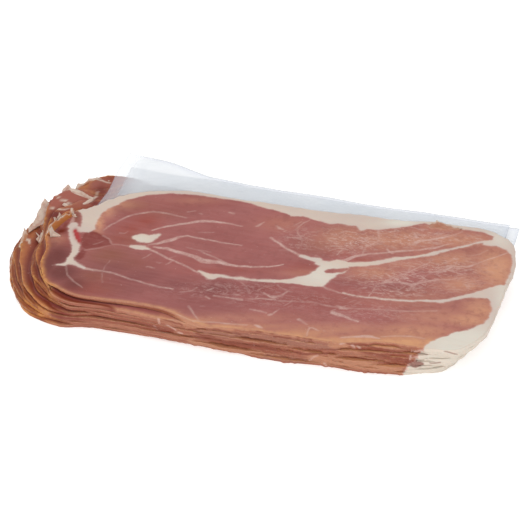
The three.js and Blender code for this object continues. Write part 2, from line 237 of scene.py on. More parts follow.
# Thin seams and flecks: strength from 0 to 1, then (x, y, thickness) along each
VEINS = {
    "oval to the back": (0.9, (
        (148, 244.5, 1), (158, 243, 2), (166, 241, 3), (172, 239.4, 3.6), (177, 237.6, 2.6),
        (187, 235.4, 1.4), (205.5, 238.7, 1.6), (218, 240.8, 1.2), (241, 245, 0.8))),
    "spindle to the blot": (0.85, (
        (148, 248.4, 2), (155, 251.4, 1.8), (167, 257.8, 1.6), (186, 265.5, 1.5),
        (199, 273, 1.6))),
    "front seam of the big muscle": (1.0, (
        (154, 246.4, 1.5), (167, 248.2, 2.4), (178, 251.6, 3), (186, 254, 3.2),
        (194, 256.6, 3.4), (203, 260.8, 4.6), (217, 262.2, 3), (231, 264.6, 2.2),
        (249, 266.8, 1.8), (269.3, 266.6, 1.4), (283, 264.2, 0.8))),
    "branch onto the front seam": (0.55, (
        (199, 249.5, 1.2), (213, 256.5, 1.4), (227.5, 263.5, 1.4))),
    "back seam of the big muscle": (0.9, (
        (152, 230, 1), (166.7, 225.9, 2), (183.3, 223.2, 2.2), (199, 220.6, 2.4),
        (213, 221.4, 2), (226, 223, 1.6), (242, 226, 1))),
    "arc over the red patch": (0.6, (
        (104, 229.5, 2), (111, 224.5, 2), (119.5, 220, 1.8), (134.8, 213.9, 1.8),
        (154, 211.3, 2), (170.5, 213.4, 1.8), (186, 217, 1.2))),
    "long low seam": (0.75, (
        (83, 267.5, 2.4), (92, 269.6, 2), (101.6, 270.8, 1.8), (117, 273.8, 1.4),
        (142.4, 282, 1.4), (158, 285.9, 1.6), (173, 288.6, 1.2))),
    "nose, downwards": (0.5, (
        (65, 264, 1.6), (67.2, 274.4, 1.4), (73.6, 280.8, 1.2), (82.5, 287, 0.8))),
    "nose, to the left": (0.45, ((60, 264, 1.2), (52.5, 264.5, 0.8))),
    "cross line": (0.35, (
        (109.3, 260.4, 1), (104.2, 266.7, 1.2), (101.6, 274.4, 1.2), (102.3, 282, 1))),
    "fan line, high": (0.45, (
        (103, 234.8, 1.4), (109.3, 238.7, 1.2), (112.5, 243.8, 1.2), (121, 244, 1),
        (132, 246.3, 1.2))),
    "fan line, low": (0.35, ((85, 249.5, 1), (101.6, 247, 1.2), (112, 244.4, 1))),
    "small hook": (0.5, ((120, 232.4, 1.2), (125, 233, 1.6), (128.5, 230.6, 1))),
    "line beside the lump": (0.9, ((72.6, 211, 1), (73.4, 217, 2.4), (72, 222, 3.4))),
    "line under the lump": (0.8, ((50, 228, 1), (52, 231.5, 3), (56, 234.6, 2.4), (60, 236, 1))),
    "squiggle, 1": (0.45, ((240, 281, 1), (246, 286, 1.2), (247, 290, 1.4), (250, 293, 2))),
    "squiggle, 2": (0.35, ((216, 284, 2), (224, 286, 1), (228, 291, 1.2), (226, 294, 1))),
    "squiggle, 3": (0.45, ((277, 285, 1), (281, 288, 1), (287, 291, 1.6), (293, 292, 1))),
    "dash in the nose": (0.3, ((94, 243.8, 1), (102, 241, 1))),
    "dashes above, 1": (0.4, ((187, 211.4, 1.2), (195, 210.4, 1))),
    "dashes above, 2": (0.4, ((199, 212.6, 1), (202, 214, 1))),
    "dashes above, 3": (0.65, ((229, 212.8, 1.4), (234, 214, 1.8))),
    "fleck above, 1": (0.6, ((256.5, 226.4, 2), (259, 225.4, 2.4), (264, 222, 1.2))),
    "fleck above, 2": (0.65, ((276.5, 226, 1), (279.5, 228.6, 2.4), (284, 230, 1))),
    "dash in the big muscle": (0.3, ((199, 231.8, 1), (214, 231.6, 1))),
    "dash in the big muscle, low": (0.3, ((187, 247, 1), (197, 249, 1), (211, 251.4, 1))),
    "curl in the right muscle": (0.6, (
        (312, 218.6, 1), (304, 222.6, 1.4), (297.6, 227.2, 1.6), (297.4, 232.3, 1.2),
        (301.4, 237, 1.4), (302.4, 241.5, 1), (300, 246, 1))),
    "slant to the upper arm": (0.85, (
        (271.2, 237.4, 2), (280.8, 244.4, 1.8), (291, 250.8, 1.8), (300.5, 256.5, 2.4))),
    "spur over the upper arm": (0.5, ((313, 258, 1.4), (316.5, 255.8, 1.6), (320, 258.5, 1.4))),
    "slant in the tan muscle": (0.35, ((326.7, 232.9, 1), (332.4, 228.5, 1))),
    "hook by the upper arm": (0.6, (
        (337, 255.4, 1.6), (339.5, 252.5, 1.6), (342.8, 249.2, 1.2))),
    "long upper arm": (0.85, (
        (330, 262.6, 3), (346, 260.6, 3.2), (355.7, 256.3, 2.4), (368.3, 254, 1.8),
        (383.6, 253.4, 2), (401.4, 251, 1.8), (419.3, 249.8, 1.6), (434.6, 247.8, 2),
        (445, 245.2, 1.2), (452.4, 244, 0.8))),
    "twig off the long upper arm": (0.7, ((387, 249, 1), (389, 251.6, 2), (392.6, 253.4, 2.2))),
    "crooked line from the back": (0.7, (
        (378.5, 230.4, 2.2), (379, 236, 1.8), (379.1, 241.4, 1.6), (372.1, 245.3, 1.6),
        (365.7, 247.6, 1.6), (362, 253.6, 1.6))),
    "feather under the back rim": (0.85, (
        (413, 245, 2.4), (416.5, 242.6, 3.6), (420.5, 240.9, 2.4), (427, 240.6, 1.8),
        (434, 239.2, 1.8), (445, 237.4, 1.8), (457.5, 233.8, 1.2), (462, 232, 0.8))),
    "fleck by the feather": (0.5, ((445, 245.4, 1.2), (452.7, 243.4, 1))),
    "low comb, spine": (0.75, (
        (368, 298, 0.8), (378.5, 283.6, 1), (388.7, 282.2, 2.4), (401.4, 282.9, 2),
        (408, 284, 2), (412, 285, 3), (418, 283, 1.6), (434.6, 280.4, 1.4), (451, 279, 1),
        (465.2, 276.5, 0.8))),
    "low comb, slant": (0.65, (
        (385, 281.6, 2), (396.3, 276.5, 1.4), (409, 271.8, 1.6), (419.3, 266.5, 1.2),
        (429.5, 262.5, 1.2), (431, 258.5, 1))),
    "low comb, twig": (0.65, ((407.6, 271.6, 1.6), (410.4, 266, 1.8))),
    "low comb, upper slant": (0.4, ((413, 277.8, 1), (427, 275.2, 1))),
    "right twig": (0.8, (
        (434, 271.6, 1.6), (438, 272, 2.8), (442, 271.8, 2), (452.4, 266.5, 1.6),
        (461, 266.6, 1.4), (467.8, 267, 2.4), (479.2, 262.4, 1.2), (493.3, 257.4, 1.2),
        (508, 252.3, 0.8))),
    "right twig, branch": (0.6, ((454.4, 265.8, 1.4), (457, 261, 1.4))),
    "upper right twig": (0.45, (
        (469, 256.1, 0.8), (479.2, 254.2, 1.2), (488.2, 249.6, 1))),
    "low right line": (0.45, (
        (464, 282.4, 1), (480.5, 280.2, 1.2), (486, 281.6, 1), (492, 284.2, 0.8))),
    "below the wedge": (0.65, (
        (323, 287.1, 1.6), (338.2, 292.6, 1.4), (356, 296.6, 1.4), (380, 299.4, 1.4))),
    "low dash, 1": (0.75, ((214.5, 295.2, 1.4), (228, 297.6, 1.2), (241.5, 299.4, 2))),
    "low dash, 2": (0.65, ((249, 298.6, 1.4), (262, 298.6, 1), (275, 299.2, 1.6))),
    "low dash, 3": (0.8, (
        (264.2, 292.4, 0.8), (270, 296.6, 1.4), (275, 297.2, 2), (282, 295.6, 2.2),
        (285, 293.4, 2), (287.4, 291.4, 2.2))),
    "low long line": (0.5, (
        (279.5, 301.2, 1.6), (296, 301.2, 1), (312.7, 302.4, 1.2), (333.1, 306.6, 1.4),
        (349, 308.4, 1.2), (383.6, 310.2, 1.2), (413, 311.6, 1.4), (436, 311.4, 1.2))),
    "low fleck, 1": (0.7, ((337, 306, 1.4), (341.6, 307.8, 3), (347, 309, 1.2))),
    "low fleck, 2": (0.85, (
        (333, 312.8, 3), (338, 314.4, 3.4), (344, 316.4, 2.6), (350, 319, 1.6),
        (358, 321.8, 1.2))),
    "low fleck, 3": (0.55, ((249.5, 309, 1), (261.6, 311.4, 1.8), (266, 313, 1))),
    "low fleck, 4": (0.65, ((269.4, 314.8, 2.2), (273, 314.6, 1.6), (279.5, 309.6, 1))),
    "low fleck, 5": (0.75, ((299, 319.4, 2), (303, 321.6, 1.8), (307, 324.2, 1.2))),
    "dotted hook, 1": (0.5, ((180, 291, 1.2), (191.5, 290.2, 1.4), (196.6, 287.2, 1))),
    "dotted hook, 2": (0.6, ((206, 296, 1.6), (209, 298, 1.4))),
    "dotted hook, 3": (0.55, (
        (189, 305.6, 2), (194, 313.6, 1.4), (199, 320.3, 1))),
    "dot by the hook": (0.4, ((201, 305.6, 1.4), (204, 305.8, 1))),
    "front rim, ridge 1": (0.6, (
        (176, 314, 1), (184, 317.6, 1.6), (191, 321, 1.4), (210, 322, 1.2), (230, 323.6, 1.4),
        (247, 325, 1.2))),
    "front rim, ridge 2": (0.8, ((255, 325, 1), (258.6, 326.6, 2), (262, 328, 1))),
    "front rim, ridge 3": (0.8, (
        (340, 338, 1), (350, 337.2, 1.8), (362, 336.6, 2.2), (372, 337, 2.2), (380, 338.6, 1))),
    "front rim, ridge 4": (0.6, (
        (382, 336.6, 1), (396, 336.4, 1.4), (412, 337, 1.4), (424, 339, 1))),
    "front rim, twig": (0.7, (
        (306.4, 336, 1), (308, 331, 1.4), (310, 327.6, 1.6), (313.6, 328.2, 1.2), (319, 331, 1))),
    "rosette, 1": (0.55, ((397, 294.4, 1.8), (399, 294.4, 1.8))),
    "rosette, 2": (0.6, ((406.5, 295.2, 2.2), (409, 294.6, 2))),
    "rosette, 3": (0.6, ((363, 288.2, 1.4), (365.6, 288, 1.8))),
    "rosette, 4": (0.5, ((373, 291.4, 1), (377, 290.4, 1.4))),
}

# Short pale strokes of marbling: place, half width, half height and count of each patch
STROKES = (
    (392, 281, 46, 10, 30), (440, 268, 46, 11, 18), (350, 243, 28, 12, 14), (410, 238, 48, 7, 18),
    (298, 234, 20, 11, 9), (240, 292, 60, 8, 12), (330, 305, 60, 10, 14), (460, 288, 30, 6, 7),
    (150, 262, 40, 8, 5))
STROKE = {
    "seed": 11, "length": (2.5, 9), "slope": (-0.28, 0.22), "bend": 0.8, "thickness": (0.8, 1.5),
    "ends": 0.6, "strength": (0.3, 0.8)}

# The fat rim along the back and the right end, outlined against the meat
FAT_RIM_INNER = (
    (80, 231), (82.5, 219.5), (81.5, 213.5), (88, 207), (104, 196), (106, 207), (101.6, 213.2),
    (96.5, 222), (95.3, 228.5), (88, 232.5))
FAT_BACK_EDGE = (
    (95.3, 228.5), (96.5, 222), (101.6, 213.2), (111.8, 206.8), (128.4, 199.3), (147.6, 194.6),
    (173, 193), (198.6, 194.7), (220, 197.9), (241, 200.6), (260, 205.8), (277, 210.4),
    (288, 214.6), (291.5, 216.4), (303, 216.2), (313, 219), (330, 223), (339, 223.6),
    (355.5, 226.1), (359.3, 230.6), (363.2, 231.3), (367, 229.3), (378.5, 230), (393.8, 228.7),
    (409, 226.1), (424.4, 223.6), (432, 225.6), (442, 227.4), (455, 228.6), (470.3, 230.8),
    (483, 232.2), (493.3, 236.4), (492, 239.5), (483, 241.5), (483, 244.6), (495.8, 245.9),
    (507.3, 249.1), (511.8, 254.8), (512.4, 263.8), (508.6, 276.5), (506, 284.2), (500.9, 288),
    (488.2, 290), (475, 294.4), (470.3, 297.6), (486.9, 298.2), (490.7, 302), (492, 309.7),
    (489.4, 317.3), (483, 323.7), (470.3, 328.8), (457.5, 332), (444.8, 336.5), (431, 341.6),
    (424, 346), (430, 372), (500, 372), (560, 300), (560, 215), (140, 150), (60, 190),
    (81, 213), (88, 232.5))
FAT_WEDGE = (
    (276.9, 280.5), (292.2, 278.2), (305, 275.7), (315.2, 270.6), (321.6, 264.8), (319, 261.6),
    (330, 262), (346, 262), (349, 268.4), (343, 273.5), (338.2, 274.6), (330.5, 280.8),
    (322.9, 287.1), (315.2, 286.5), (294.8, 284), (276.9, 282.7))
MEAT_ISLAND = ((327, 271.8, 3.4), (333, 271.4, 5), (340, 271, 4.6), (347, 269.4, 2))

# Dark red patches with a clear edge
RED_PATCHES = (
    ((81, 240), (84, 233.4), (90, 230.6), (97, 231.6), (103, 235), (109, 239), (112.5, 244),
     (104, 245), (96, 246.6), (86, 248.4), (82, 246)),
    ((74, 257), (78, 252), (83, 248.6), (86.5, 251), (84, 257), (79, 259.6)))

# Soft zones of tone: (x, y, half width, half height, strength)
TONES = {
    "deep": (
        (49, 262, 8, 18, 1.0), (57, 255, 14, 12, 0.9), (60, 272, 16, 9, 1.0),
        (74, 284, 14, 7, 0.8), (52, 246, 9, 8, 0.6)),
    "dusk": (
        (62, 257, 15, 17, 0.9), (68, 276, 14, 11, 0.9), (112, 268, 24, 10, 0.8),
        (140, 276, 32, 9, 0.85), (175, 284, 35, 10, 0.75), (215, 288, 32, 9, 0.95),
        (258, 288, 26, 8, 0.8), (395, 288, 26, 6, 0.6), (350, 283, 20, 6, 0.4),
        (120, 286, 34, 9, 0.6), (215, 303, 60, 12, 0.35), (290, 297, 45, 8, 0.4),
        (60, 284, 20, 8, 0.5), (86, 292, 20, 5, 0.4)),
    "brown": (
        (108, 254, 21, 9, 1.0), (92, 277, 16, 9, 0.8), (132, 262, 18, 8, 0.5),
        (100, 288, 20, 6, 0.6), (345, 236, 24, 10, 0.2), (77, 217, 5, 8, 1.0),
        (130, 205, 30, 8, 0.7), (160, 213, 26, 6, 0.55), (310, 246, 20, 10, 0.3),
        (128, 239, 22, 8, 0.7)),
    "warm": (
        (98.5, 222, 6, 11, 1.2), (106, 211, 9, 7, 1.0), (120, 204, 18, 5, 0.6),
        (497, 268, 24, 22, 1.2), (481, 310, 20, 13, 1.0), (455, 260, 44, 11, 0.75),
        (440, 318, 40, 11, 0.6), (468, 320, 26, 7, 1.1), (415, 331, 45, 7, 0.85),
        (335, 329, 60, 6, 0.6), (375, 272, 28, 8, 0.7), (405, 264, 34, 7, 0.55),
        (57, 239, 9, 6, 0.55), (430, 300, 60, 12, 0.35), (300, 273, 22, 4, 0.3),
        (196, 200, 24, 4, 0.3), (400, 240, 60, 13, 0.75), (345, 238, 32, 13, 0.65),
        (460, 240, 42, 9, 0.8), (466, 284, 32, 10, 0.8), (240, 318, 60, 5, 0.4),
        (284, 224, 26, 8, 0.3)),
    "red": (
        (147, 221, 17, 8, 1.0), (130, 228, 14, 7, 0.9), (120, 238, 12, 6, 0.6),
        (225, 270, 45, 4, 0.5), (300, 268, 18, 5, 0.5), (190, 262, 30, 4, 0.35),
        (362, 260, 12, 3, 0.6), (345, 255, 22, 5, 0.3), (280, 222, 20, 6, 0.3),
        (200, 204, 40, 6, 0.3), (330, 300, 60, 10, 0.35), (420, 246, 40, 5, 0.2),
        (270, 288, 14, 5, 0.4), (80, 290, 30, 10, 0.7), (66, 240, 10, 8, 0.6)),
    "blood": (
        (75.2, 231, 2.2, 2.6, 1.3), (76.4, 234, 2.4, 2.8, 1.4), (77.6, 237, 2.4, 2.8, 1.4),
        (79, 240, 1.8, 2.4, 1.2)),
    # Painted shade in the hollow under the top slice's lip
    "dark": ((61.5, 229.5, 7, 3.6, 1.1), (66, 225, 4, 4, 0.7)),
    "amber": ((55, 221, 5, 3.6, 1.1), (63, 215.4, 6, 3.2, 1.2), (70, 212, 4, 3, 1.0)),
    "tan": (
        (400, 343, 36, 5.5, 1.2), (355, 340, 36, 4, 0.9), (430, 343, 14, 5, 1.0),
        (300, 334, 30, 4, 0.6), (240, 326, 40, 3, 0.5), (195, 321, 22, 3, 0.6),
        (446, 227, 16, 3.5, 0.9), (160, 311, 16, 3, 0.6)),
    "marbled": (
        (400, 279, 48, 10, 1.0), (405, 237, 50, 11, 1.1), (352, 241, 32, 13, 1.1),
        (300, 240, 22, 12, 0.6), (440, 268, 44, 11, 0.9), (375, 312, 45, 10, 0.45),
        (235, 290, 60, 8, 0.5), (400, 292, 40, 5, 0.9), (465, 285, 30, 8, 0.6),
        (465, 240, 30, 6, 0.7), (290, 300, 60, 8, 0.4)),
    "pale": (
        (468, 350, 46, 26, 1.3), (505, 300, 10, 26, 0.8), (320, 276, 24, 12, 0.8),
        (400, 223, 18, 4, 1.1), (500, 238, 12, 10, 0.6), (142, 238, 12, 4, 0.5)),
}

# The fanned left end, on whichever lower slice shows there: fringes of fat, and zones of tone
FAN_FAT = {
    "line over the hole": ((49, 208, 0.8), (55, 209.4, 1.2), (62, 210.4, 1.2), (68, 210, 0.8)),
    "seam in the long flap": (
        (55, 197.4, 0.8), (60, 200.4, 1.2), (66, 203, 1.2), (72, 205.4, 0.8)),
    "rim of the short flap": ((96, 179.6, 1.4), (104, 182, 1.2), (110, 183, 1)),
    "streak in the left leaf": ((26, 236, 1), (28, 240, 2), (30, 244, 1.4)),
    "line at the sheet": ((99, 192, 1), (96, 197, 1.4), (92, 202, 1)),
}
FAN_TONES = {
    # Painted shade in the holes and gaps under the torn flaps and between the slices
    "dark": (
        (54.6, 215, 6, 4.2, 1.4), (101, 192, 7, 8, 0.9), (95, 203, 5, 3.5, 1.0),
        (38, 236, 4, 6, 0.7), (30, 268, 3, 22, 0.5), (33, 230, 4, 5, 0.4)),
    "amber": (
        (40, 227, 11, 4.5, 1.0), (34, 234, 5, 6, 0.7), (24, 250, 5, 14, 0.5),
        (14, 262, 5, 16, 0.8), (20, 305, 12, 14, 0.6), (84, 187, 6, 5, 0.7),
        (78, 212, 6, 3, 0.5)),
    "flesh": (
        (72, 198, 22, 9, 1.3), (55, 204, 12, 6, 1.2), (98, 186, 13, 7, 1.0),
        (86, 202, 12, 4, 1.0),
        (106, 194, 6, 8, 0.8), (28, 262, 5, 12, 0.4)),
}

# The cut side along the front: lines and bands of (x, y, thickness) in pixels of the photograph
SIDE_MARKS = {
    # Painted shade in the gaps between the slices
    "side_gap": (
        ((128, 321, 1.4), (150, 326, 2), (165, 331, 2.4), (180, 336, 2)),
        ((190, 336, 1.4), (202, 337, 2.6), (212, 339.4, 2.4), (225, 341.6, 3), (240, 344, 3.2),
         (255, 345.6, 3.4), (268, 347.4, 3), (276, 350, 2.2), (290, 351.6, 2.2),
         (304, 354, 2.2), (318, 353.4, 1.6), (334, 353.4, 1.4)),
        ((158, 317, 1.4), (170, 321, 2), (182, 325, 1.2)),
        ((184, 330, 1), (198, 329, 1.4), (214, 329.6, 1.2), (224, 331, 1.2), (233, 333, 1)),
        ((195, 333, 1.2), (204, 335.4, 2), (215, 337, 1.4)),
        ((234, 333, 1), (241, 334.6, 1.6)),
        ((256, 331, 1), (270, 333, 1.2), (290, 335, 1.2), (300, 337, 1.4), (312, 340, 1.4)),
        ((274, 336, 1.6), (291, 338, 1.8)),
        ((320, 350, 1), (340, 348.4, 1.4), (352, 349, 1)),
        ((345, 343, 1), (365, 345, 1.6), (380, 349, 2), (395, 352, 2.4), (411, 354, 2.2)),
        ((348, 350, 1), (372, 353, 1.6), (386, 356.4, 2), (402, 358.6, 1.4)),
        ((350, 357, 1), (372, 359.6, 1.4), (388, 363, 1.8), (404, 366, 1.4)),
        ((406, 362.2, 4), (415, 363.4, 8), (423, 364, 3)),
        ((430, 363, 1), (441, 363, 1)),
        ((445, 351, 1), (457, 354, 1)),
        ((409, 353, 1.4), (418, 355, 1.6), (427, 354, 1))),
    "side_red_band": (
        ((30, 296, 5), (44, 306, 8), (62, 313, 10), (100, 317, 12), (140, 324, 10), (172, 331, 6)),
        ((200, 339, 7), (230, 344, 7), (265, 348, 6), (300, 353, 4)),
        ((360, 348, 8), (385, 354, 12), (408, 360, 12))),
    "side_mauve": (
        ((196, 332, 5), (225, 335, 7), (260, 338, 8), (300, 343, 8), (330, 347, 6)),
        ((262, 356, 6), (285, 359, 6), (304, 361, 5))),
    "side_tan": (
        ((190, 341, 5), (230, 349, 6), (262, 354, 5)),
        ((312, 359, 8), (340, 362, 10), (372, 366, 7), (400, 371, 5)),
        ((150, 312, 4), (176, 320, 5), (200, 326, 5), (232, 329, 4)),
        ((330, 345, 5), (346, 346, 6)),
        ((118, 305, 5), (150, 312, 5))),
    "side_pale": (
        ((352, 345, 3), (354.6, 346.6, 2.4)), ((358, 346, 2), (360, 347.6, 2)),
        ((309, 361, 1.2), (313, 357, 1.6), (318, 355, 1)), ((324, 363, 2.4), (326, 365, 2)),
        ((158.4, 317.6, 2.2), (159.6, 323, 2)), ((154.6, 327, 2.4), (157.4, 329, 2)),
        ((178.6, 332.6, 2), (182, 333.6, 1.6)), ((167, 325, 1.4), (176, 330, 1.2)),
        ((404, 375, 2), (407, 369, 2.6), (409.6, 362, 2.4), (411, 355, 2), (412, 351, 1.4)),
        ((412, 358, 1.6), (420, 357, 2.2), (428, 352, 2)), ((414, 352, 1.4), (424, 350, 2)),
        ((411, 368, 2), (418, 369, 2.4), (424, 367, 2)), ((340, 344, 1.4), (346, 342.6, 1.4))),
}

# The side's marks lie on the cut walls in front of this Y, and on the side the bands are softer
# than the lines
SIDE_MARKS_BEFORE = -20
SIDE_BANDS = ("side_red_band", "side_mauve", "side_tan")
SOFT_BAND = 2.0
SOFT_LINE = 0.5

# Distance that stands for far outside the fat, and the soft edges of what is marked
OUTSIDE = -9.0
VEIN_EDGE = (-0.3, 0.35)
PATCH_EDGE = (-0.7, 0.7)
FRINGE_EDGE = (-0.4, 0.4)

# A thinner vein is drawn this wide, but fainter, down to a share
THINNEST_VEIN = 0.34
FAINTEST_VEIN = 0.3

# Wavering of the marks on the leg, on the fanned end and on the cut side
LEG_SHAKE = {"seeds": (11, 17), "length": 5.0, "octaves": 3, "reach": 0.35}
FAN_SHAKE = {"seeds": (23, 23), "length": 3.0, "octaves": 3, "reach": 0.5}
SIDE_SHAKE = {"seeds": (31, 37), "length": 7.0, "octaves": 2, "reach": 0.6}

# The fanned end: how far past the slices above it starts and is full, how much its fat is cut,
# the width of the painted shade beside the rims of the slices above, and the stretch of X over
# which it turns golden
FAN_FROM = (0.2, 1.4)
FAN_FAT_CUT = 12
TUCK_SHADE_WIDTH = 2.4
GOLD_FROM = (-84, -106)

# Torn leaves of fat and meat that stand off a slice's left end: slice, share of amber, of pale
# fat all over and of the width that is fat at the free edge, then the rooted and the free edge,
# each as (x, y, rise in millimetres over the slice)
LEAVES = {
    "long flap, back": (7, 0.05, 0.75, 0.5, (
        (62, 193, -0.2), (67, 191.6, 0.2), (72, 194.4, 0.3), (78, 197, 0.3), (85, 199.6, 0.3),
        (92, 201.4, 0.1)), (
        (62.6, 189, 1.0), (68, 184.2, 1.8), (72, 188.4, 1.6), (78, 190.4, 1.4),
        (86, 193.4, 1.4), (94, 198, 0.9))),
    "long flap, front": (8, 0.0, 0.9, 0.5, (
        (62, 205, 0.2), (68, 208.2, 0.2), (73, 210, 0.2), (80, 207.4, 0.3), (88, 204, 0.4),
        (93.4, 200.4, 0.5)), (
        (64, 202.8, 0.5), (69, 205.2, 0.6), (73, 206.4, 0.6), (80, 203.6, 0.8),
        (87, 200.6, 0.9), (94, 197.8, 0.9))),
    "short flap": (5, 0.6, 0.2, 0.42, (
        (82, 190, -0.3), (83, 187.4, -0.3), (85.5, 186, -0.3), (90, 184, -0.3), (97, 183, -0.3),
        (108, 184, -0.3)), (
        (76, 189, 0.6), (78, 183, 1.2), (84.4, 183.8, 1.2), (89, 179, 1.6), (97, 177.8, 1.2),
        (110, 180, 0.6))),
    "pale leaf": (6, 0.1, 0.7, 0.4, (
        (52, 206.5, -0.3), (51, 210, -0.3), (49.6, 215, -0.3), (48, 220, -0.3), (45, 224, -0.3),
        (38, 226.5, -0.3), (33, 230, -0.3)), (
        (44.4, 197.6, 2.2), (41, 205, 1.6), (38.4, 212, 1.4), (35, 218.6, 1.2), (31.4, 225, 1.0),
        (29, 228, 0.8), (28, 233, 0.4))),
    "left leaf": (5, 0.75, 0.1, 0.25, (
        (34, 240, -0.3), (33, 244, -0.3), (30, 250, -0.3)), (
        (24, 227.6, 1.6), (21.6, 238, 1.4), (18.4, 247, 0.6))),
    "tooth": (6, 0.5, 0.35, 0.3, (
        (46.5, 238, -0.3), (45, 243, -0.3), (41, 246, -0.3)), (
        (43, 229.8, 1.0), (41, 234, 0.9), (38.6, 241, 0.3))),
    "small teeth": (6, 0.35, 0.6, 0.4, (
        (41.4, 237, -0.3), (40.6, 240, -0.3), (39, 243, -0.3)), (
        (36, 232.4, 0.8), (38, 236.4, 0.5), (36, 239, 0.5))),
    "left tip": (2, 0.8, 0.1, 0.25, (
        (16.6, 262, -0.3), (14.5, 266, -0.3), (12, 272, -0.3)), (
        (13, 251.4, 1.4), (11, 259, 1.0), (9.8, 268, 0.3))),
    "left tip, small": (2, 0.7, 0.2, 0.3, (
        (19, 260, -0.3), (17.5, 263, -0.3), (15.6, 266, -0.3)), (
        (17.4, 255.4, 0.9), (15.8, 258, 0.7), (14, 262, 0.5))),
    "lip": (9, 1.0, 0.0, 0.12, (
        (52, 237, -0.4), (55.6, 230.6, -0.4), (60.4, 225.4, -0.4), (66, 221.2, -0.4),
        (70.4, 218, -0.4), (73.4, 216, -0.4)), (
        (47, 233.6, 1.4), (49.4, 226.6, 2.2), (54.4, 219.6, 2.6), (60.4, 214.6, 2.6),
        (67, 211.2, 2.2), (73.6, 210.4, 1.2))),
    "lip, torn edge": (9, 0.2, 0.8, 0.5, (
        (50.4, 237.4, 0.1), (54, 236.8, 0.1), (58, 236.6, 0), (61, 236.4, 0)), (
        (49, 228, 1.8), (51.6, 226, 2.0), (54.6, 231.4, 1.2), (60, 234.6, 0.5))),
    "lip, teeth": (9, 0.2, 0.8, 0.5, (
        (55, 222, 0.6), (58, 219.4, 0.8), (62, 217, 0.8)), (
        (53.6, 217.4, 2.6), (57.4, 218, 2.2), (59.4, 212.6, 2.6))),
    "dried back edge": (9, 0.35, 0.25, 0.3, (
        (429, 227, -0.1), (438, 228, -0.1), (448, 229, -0.1), (460, 230.4, -0.1)), (
        (431, 223, 0.4), (436.6, 220.6, 0.5), (446, 224, 0.4), (462, 228.4, 0.2))),
    "lip, end": (9, 0.1, 0.85, 0.5, (
        (70.4, 214.6, 0.4), (72.6, 216.4, 0.2), (75, 217.4, 0)), (
        (72, 210, 1.6), (74.4, 213.6, 0.8), (77, 217, 0.3))),
}
LEAF_THICKNESS = 0.45
LEAF_SAMPLES = (25, 9)

# A leaf thins towards its free edge by this share, bulges by this much and is frayed. Streaks
# move the edge of its fat, and its pale fat is uneven
LEAF_THINNING = 0.6
LEAF_BULGE = 0.35
LEAF_FRAY = {"reach": 0.7, "length": 2.0, "samples": 17}
LEAF_STREAK = {"reach": 0.12, "length": 1.0, "samples": 9}
LEAF_GRAIN = {"reach": 0.7, "length": 1.0, "along": 3, "across": 5}
LEAF_FAT_EDGE = 0.12

# Rounds of finding where a line of sight meets a slice's face
LEAF_ROUNDS = 5

# ---------------------------------------------------------------------------------------------
# Finish of the slices' rims, by place on the rim in rim points
# ---------------------------------------------------------------------------------------------

# How ragged the cut is, how wide the dried band is and how round the cut edge, in millimetres
RIM_PLACES = (0, 2, 4, 5.5, 7, 9.5, 10.5, 12, 16, 18, 21, 22, 23.5, 25.3, 26)
RAGGED = (0.25, 0.2, 0.2, 0.35, 0.75, 0.7, 0.4, 0.25, 0.25, 0.4, 0.3, 0.7, 0.9, 0.6, 0.25)
DRY_BAND = (2.0, 1.8, 1.6, 2.4, 2.8, 5.0, 3.4, 0.4, 0.3, 0.4, 0.4, 0.8, 1.8, 2.2, 2.0)
ROUNDING = (0.45, 0.45, 0.36, 0.26, 0.22, 0.2, 0.16, 0.12, 0.2, 0.35, 0.35, 0.45, 0.5, 0.5, 0.5)

# Inset of the flat faces behind the rim, rows down the cut wall, and the share of the inset that
# a row may reach in
FACE_INSET = 1.0
WALL_ROWS = 7
DEEPEST_ROW = 0.85

# The wall keeps this share of its rounding where slices cling. Its tears are cut off at these
# shares of their height, and a slow wave and fibres that differ from row to row lie over them
CLINGING_ROUND = 0.35
TEARS = {"length": 3.4, "least": -0.4, "most": 1.4}
SLOW_WAVE = {"height": 0.3, "length": 13}
WALL_FIBRES = {"height": 0.25, "length": 0.9, "row": 31}

# Power by which a torn tip narrows to its point
TIP_POINT = 1.4

# Every so many samples of the rim are used to find the distance to it
RIM_STRIDE = 3

# How far each gap, by the slice under it, stands open at these places in X, along the front
# and at the right end, and the stretches over which that sets in
GAP_PLACES = (-84, -63, -40, -10, 19, 48, 77, 106, 114)
GAP_OPEN = {
    8: (1.2, 0.7, 0.2, 0.15, 0.15, 0.2, 0.35, 0.3, 0.06),
    7: (0.3, 0.35, 0.3, 0.2, 0.2, 0.2, 0.45, 0.4, 0.06),
    6: (0.6, 0.6, 0.5, 0.25, 0.2, 0.2, 0.3, 0.45, 0.06),
    5: (0.6, 0.35, 0.2, 0.2, 0.15, 0.3, 0.4, 0.2, 0.06),
    4: (1.1, 1.0, 0.5, 0.2, 0.2, 0.2, 0.25, 0.4, 0.06),
    3: (0.3, 0.2, 0.4, 0.6, 0.6, 0.3, 0.25, 0.2, 0.06),
    2: (0.15, 0.15, 0.15, 0.3, 0.4, 0.3, 0.15, 0.2, 0.06),
    1: (0.15, 0.25, 0.15, 0.15, 0.15, 0.15, 0.2, 0.2, 0.06),
}
RIGHT_END_FROM = (100, 110)
FRONT_FROM = {"start": -50, "full": -56}

# A slice that reaches past those above it dries and curls up, by this much over this width, to
# the left of a place in X from which it sets in, but not where a sheet lies over it
CURL = {"height": 1.0, "start": 0.6, "width": 5.0, "left_of": -55, "fade": 14, "grow": 18}
CURL_CLEAR = {"x": (-110, -102), "y": (0, 12)}

# The top slice's left end stands up in a lip, marked in pixels, round a hollow. Its underside
# rises with it by a share
LIP = ((46.5, 236), (50, 228.5), (55, 221.5), (61, 216), (67, 212), (73, 211))
LIP_RISE = {"height": 2.6, "width": 1.9, "level": 19.2, "under": 0.8}
LIP_HOLLOW = {"place": (61, 228), "depth": 0.7, "width": 3.6}

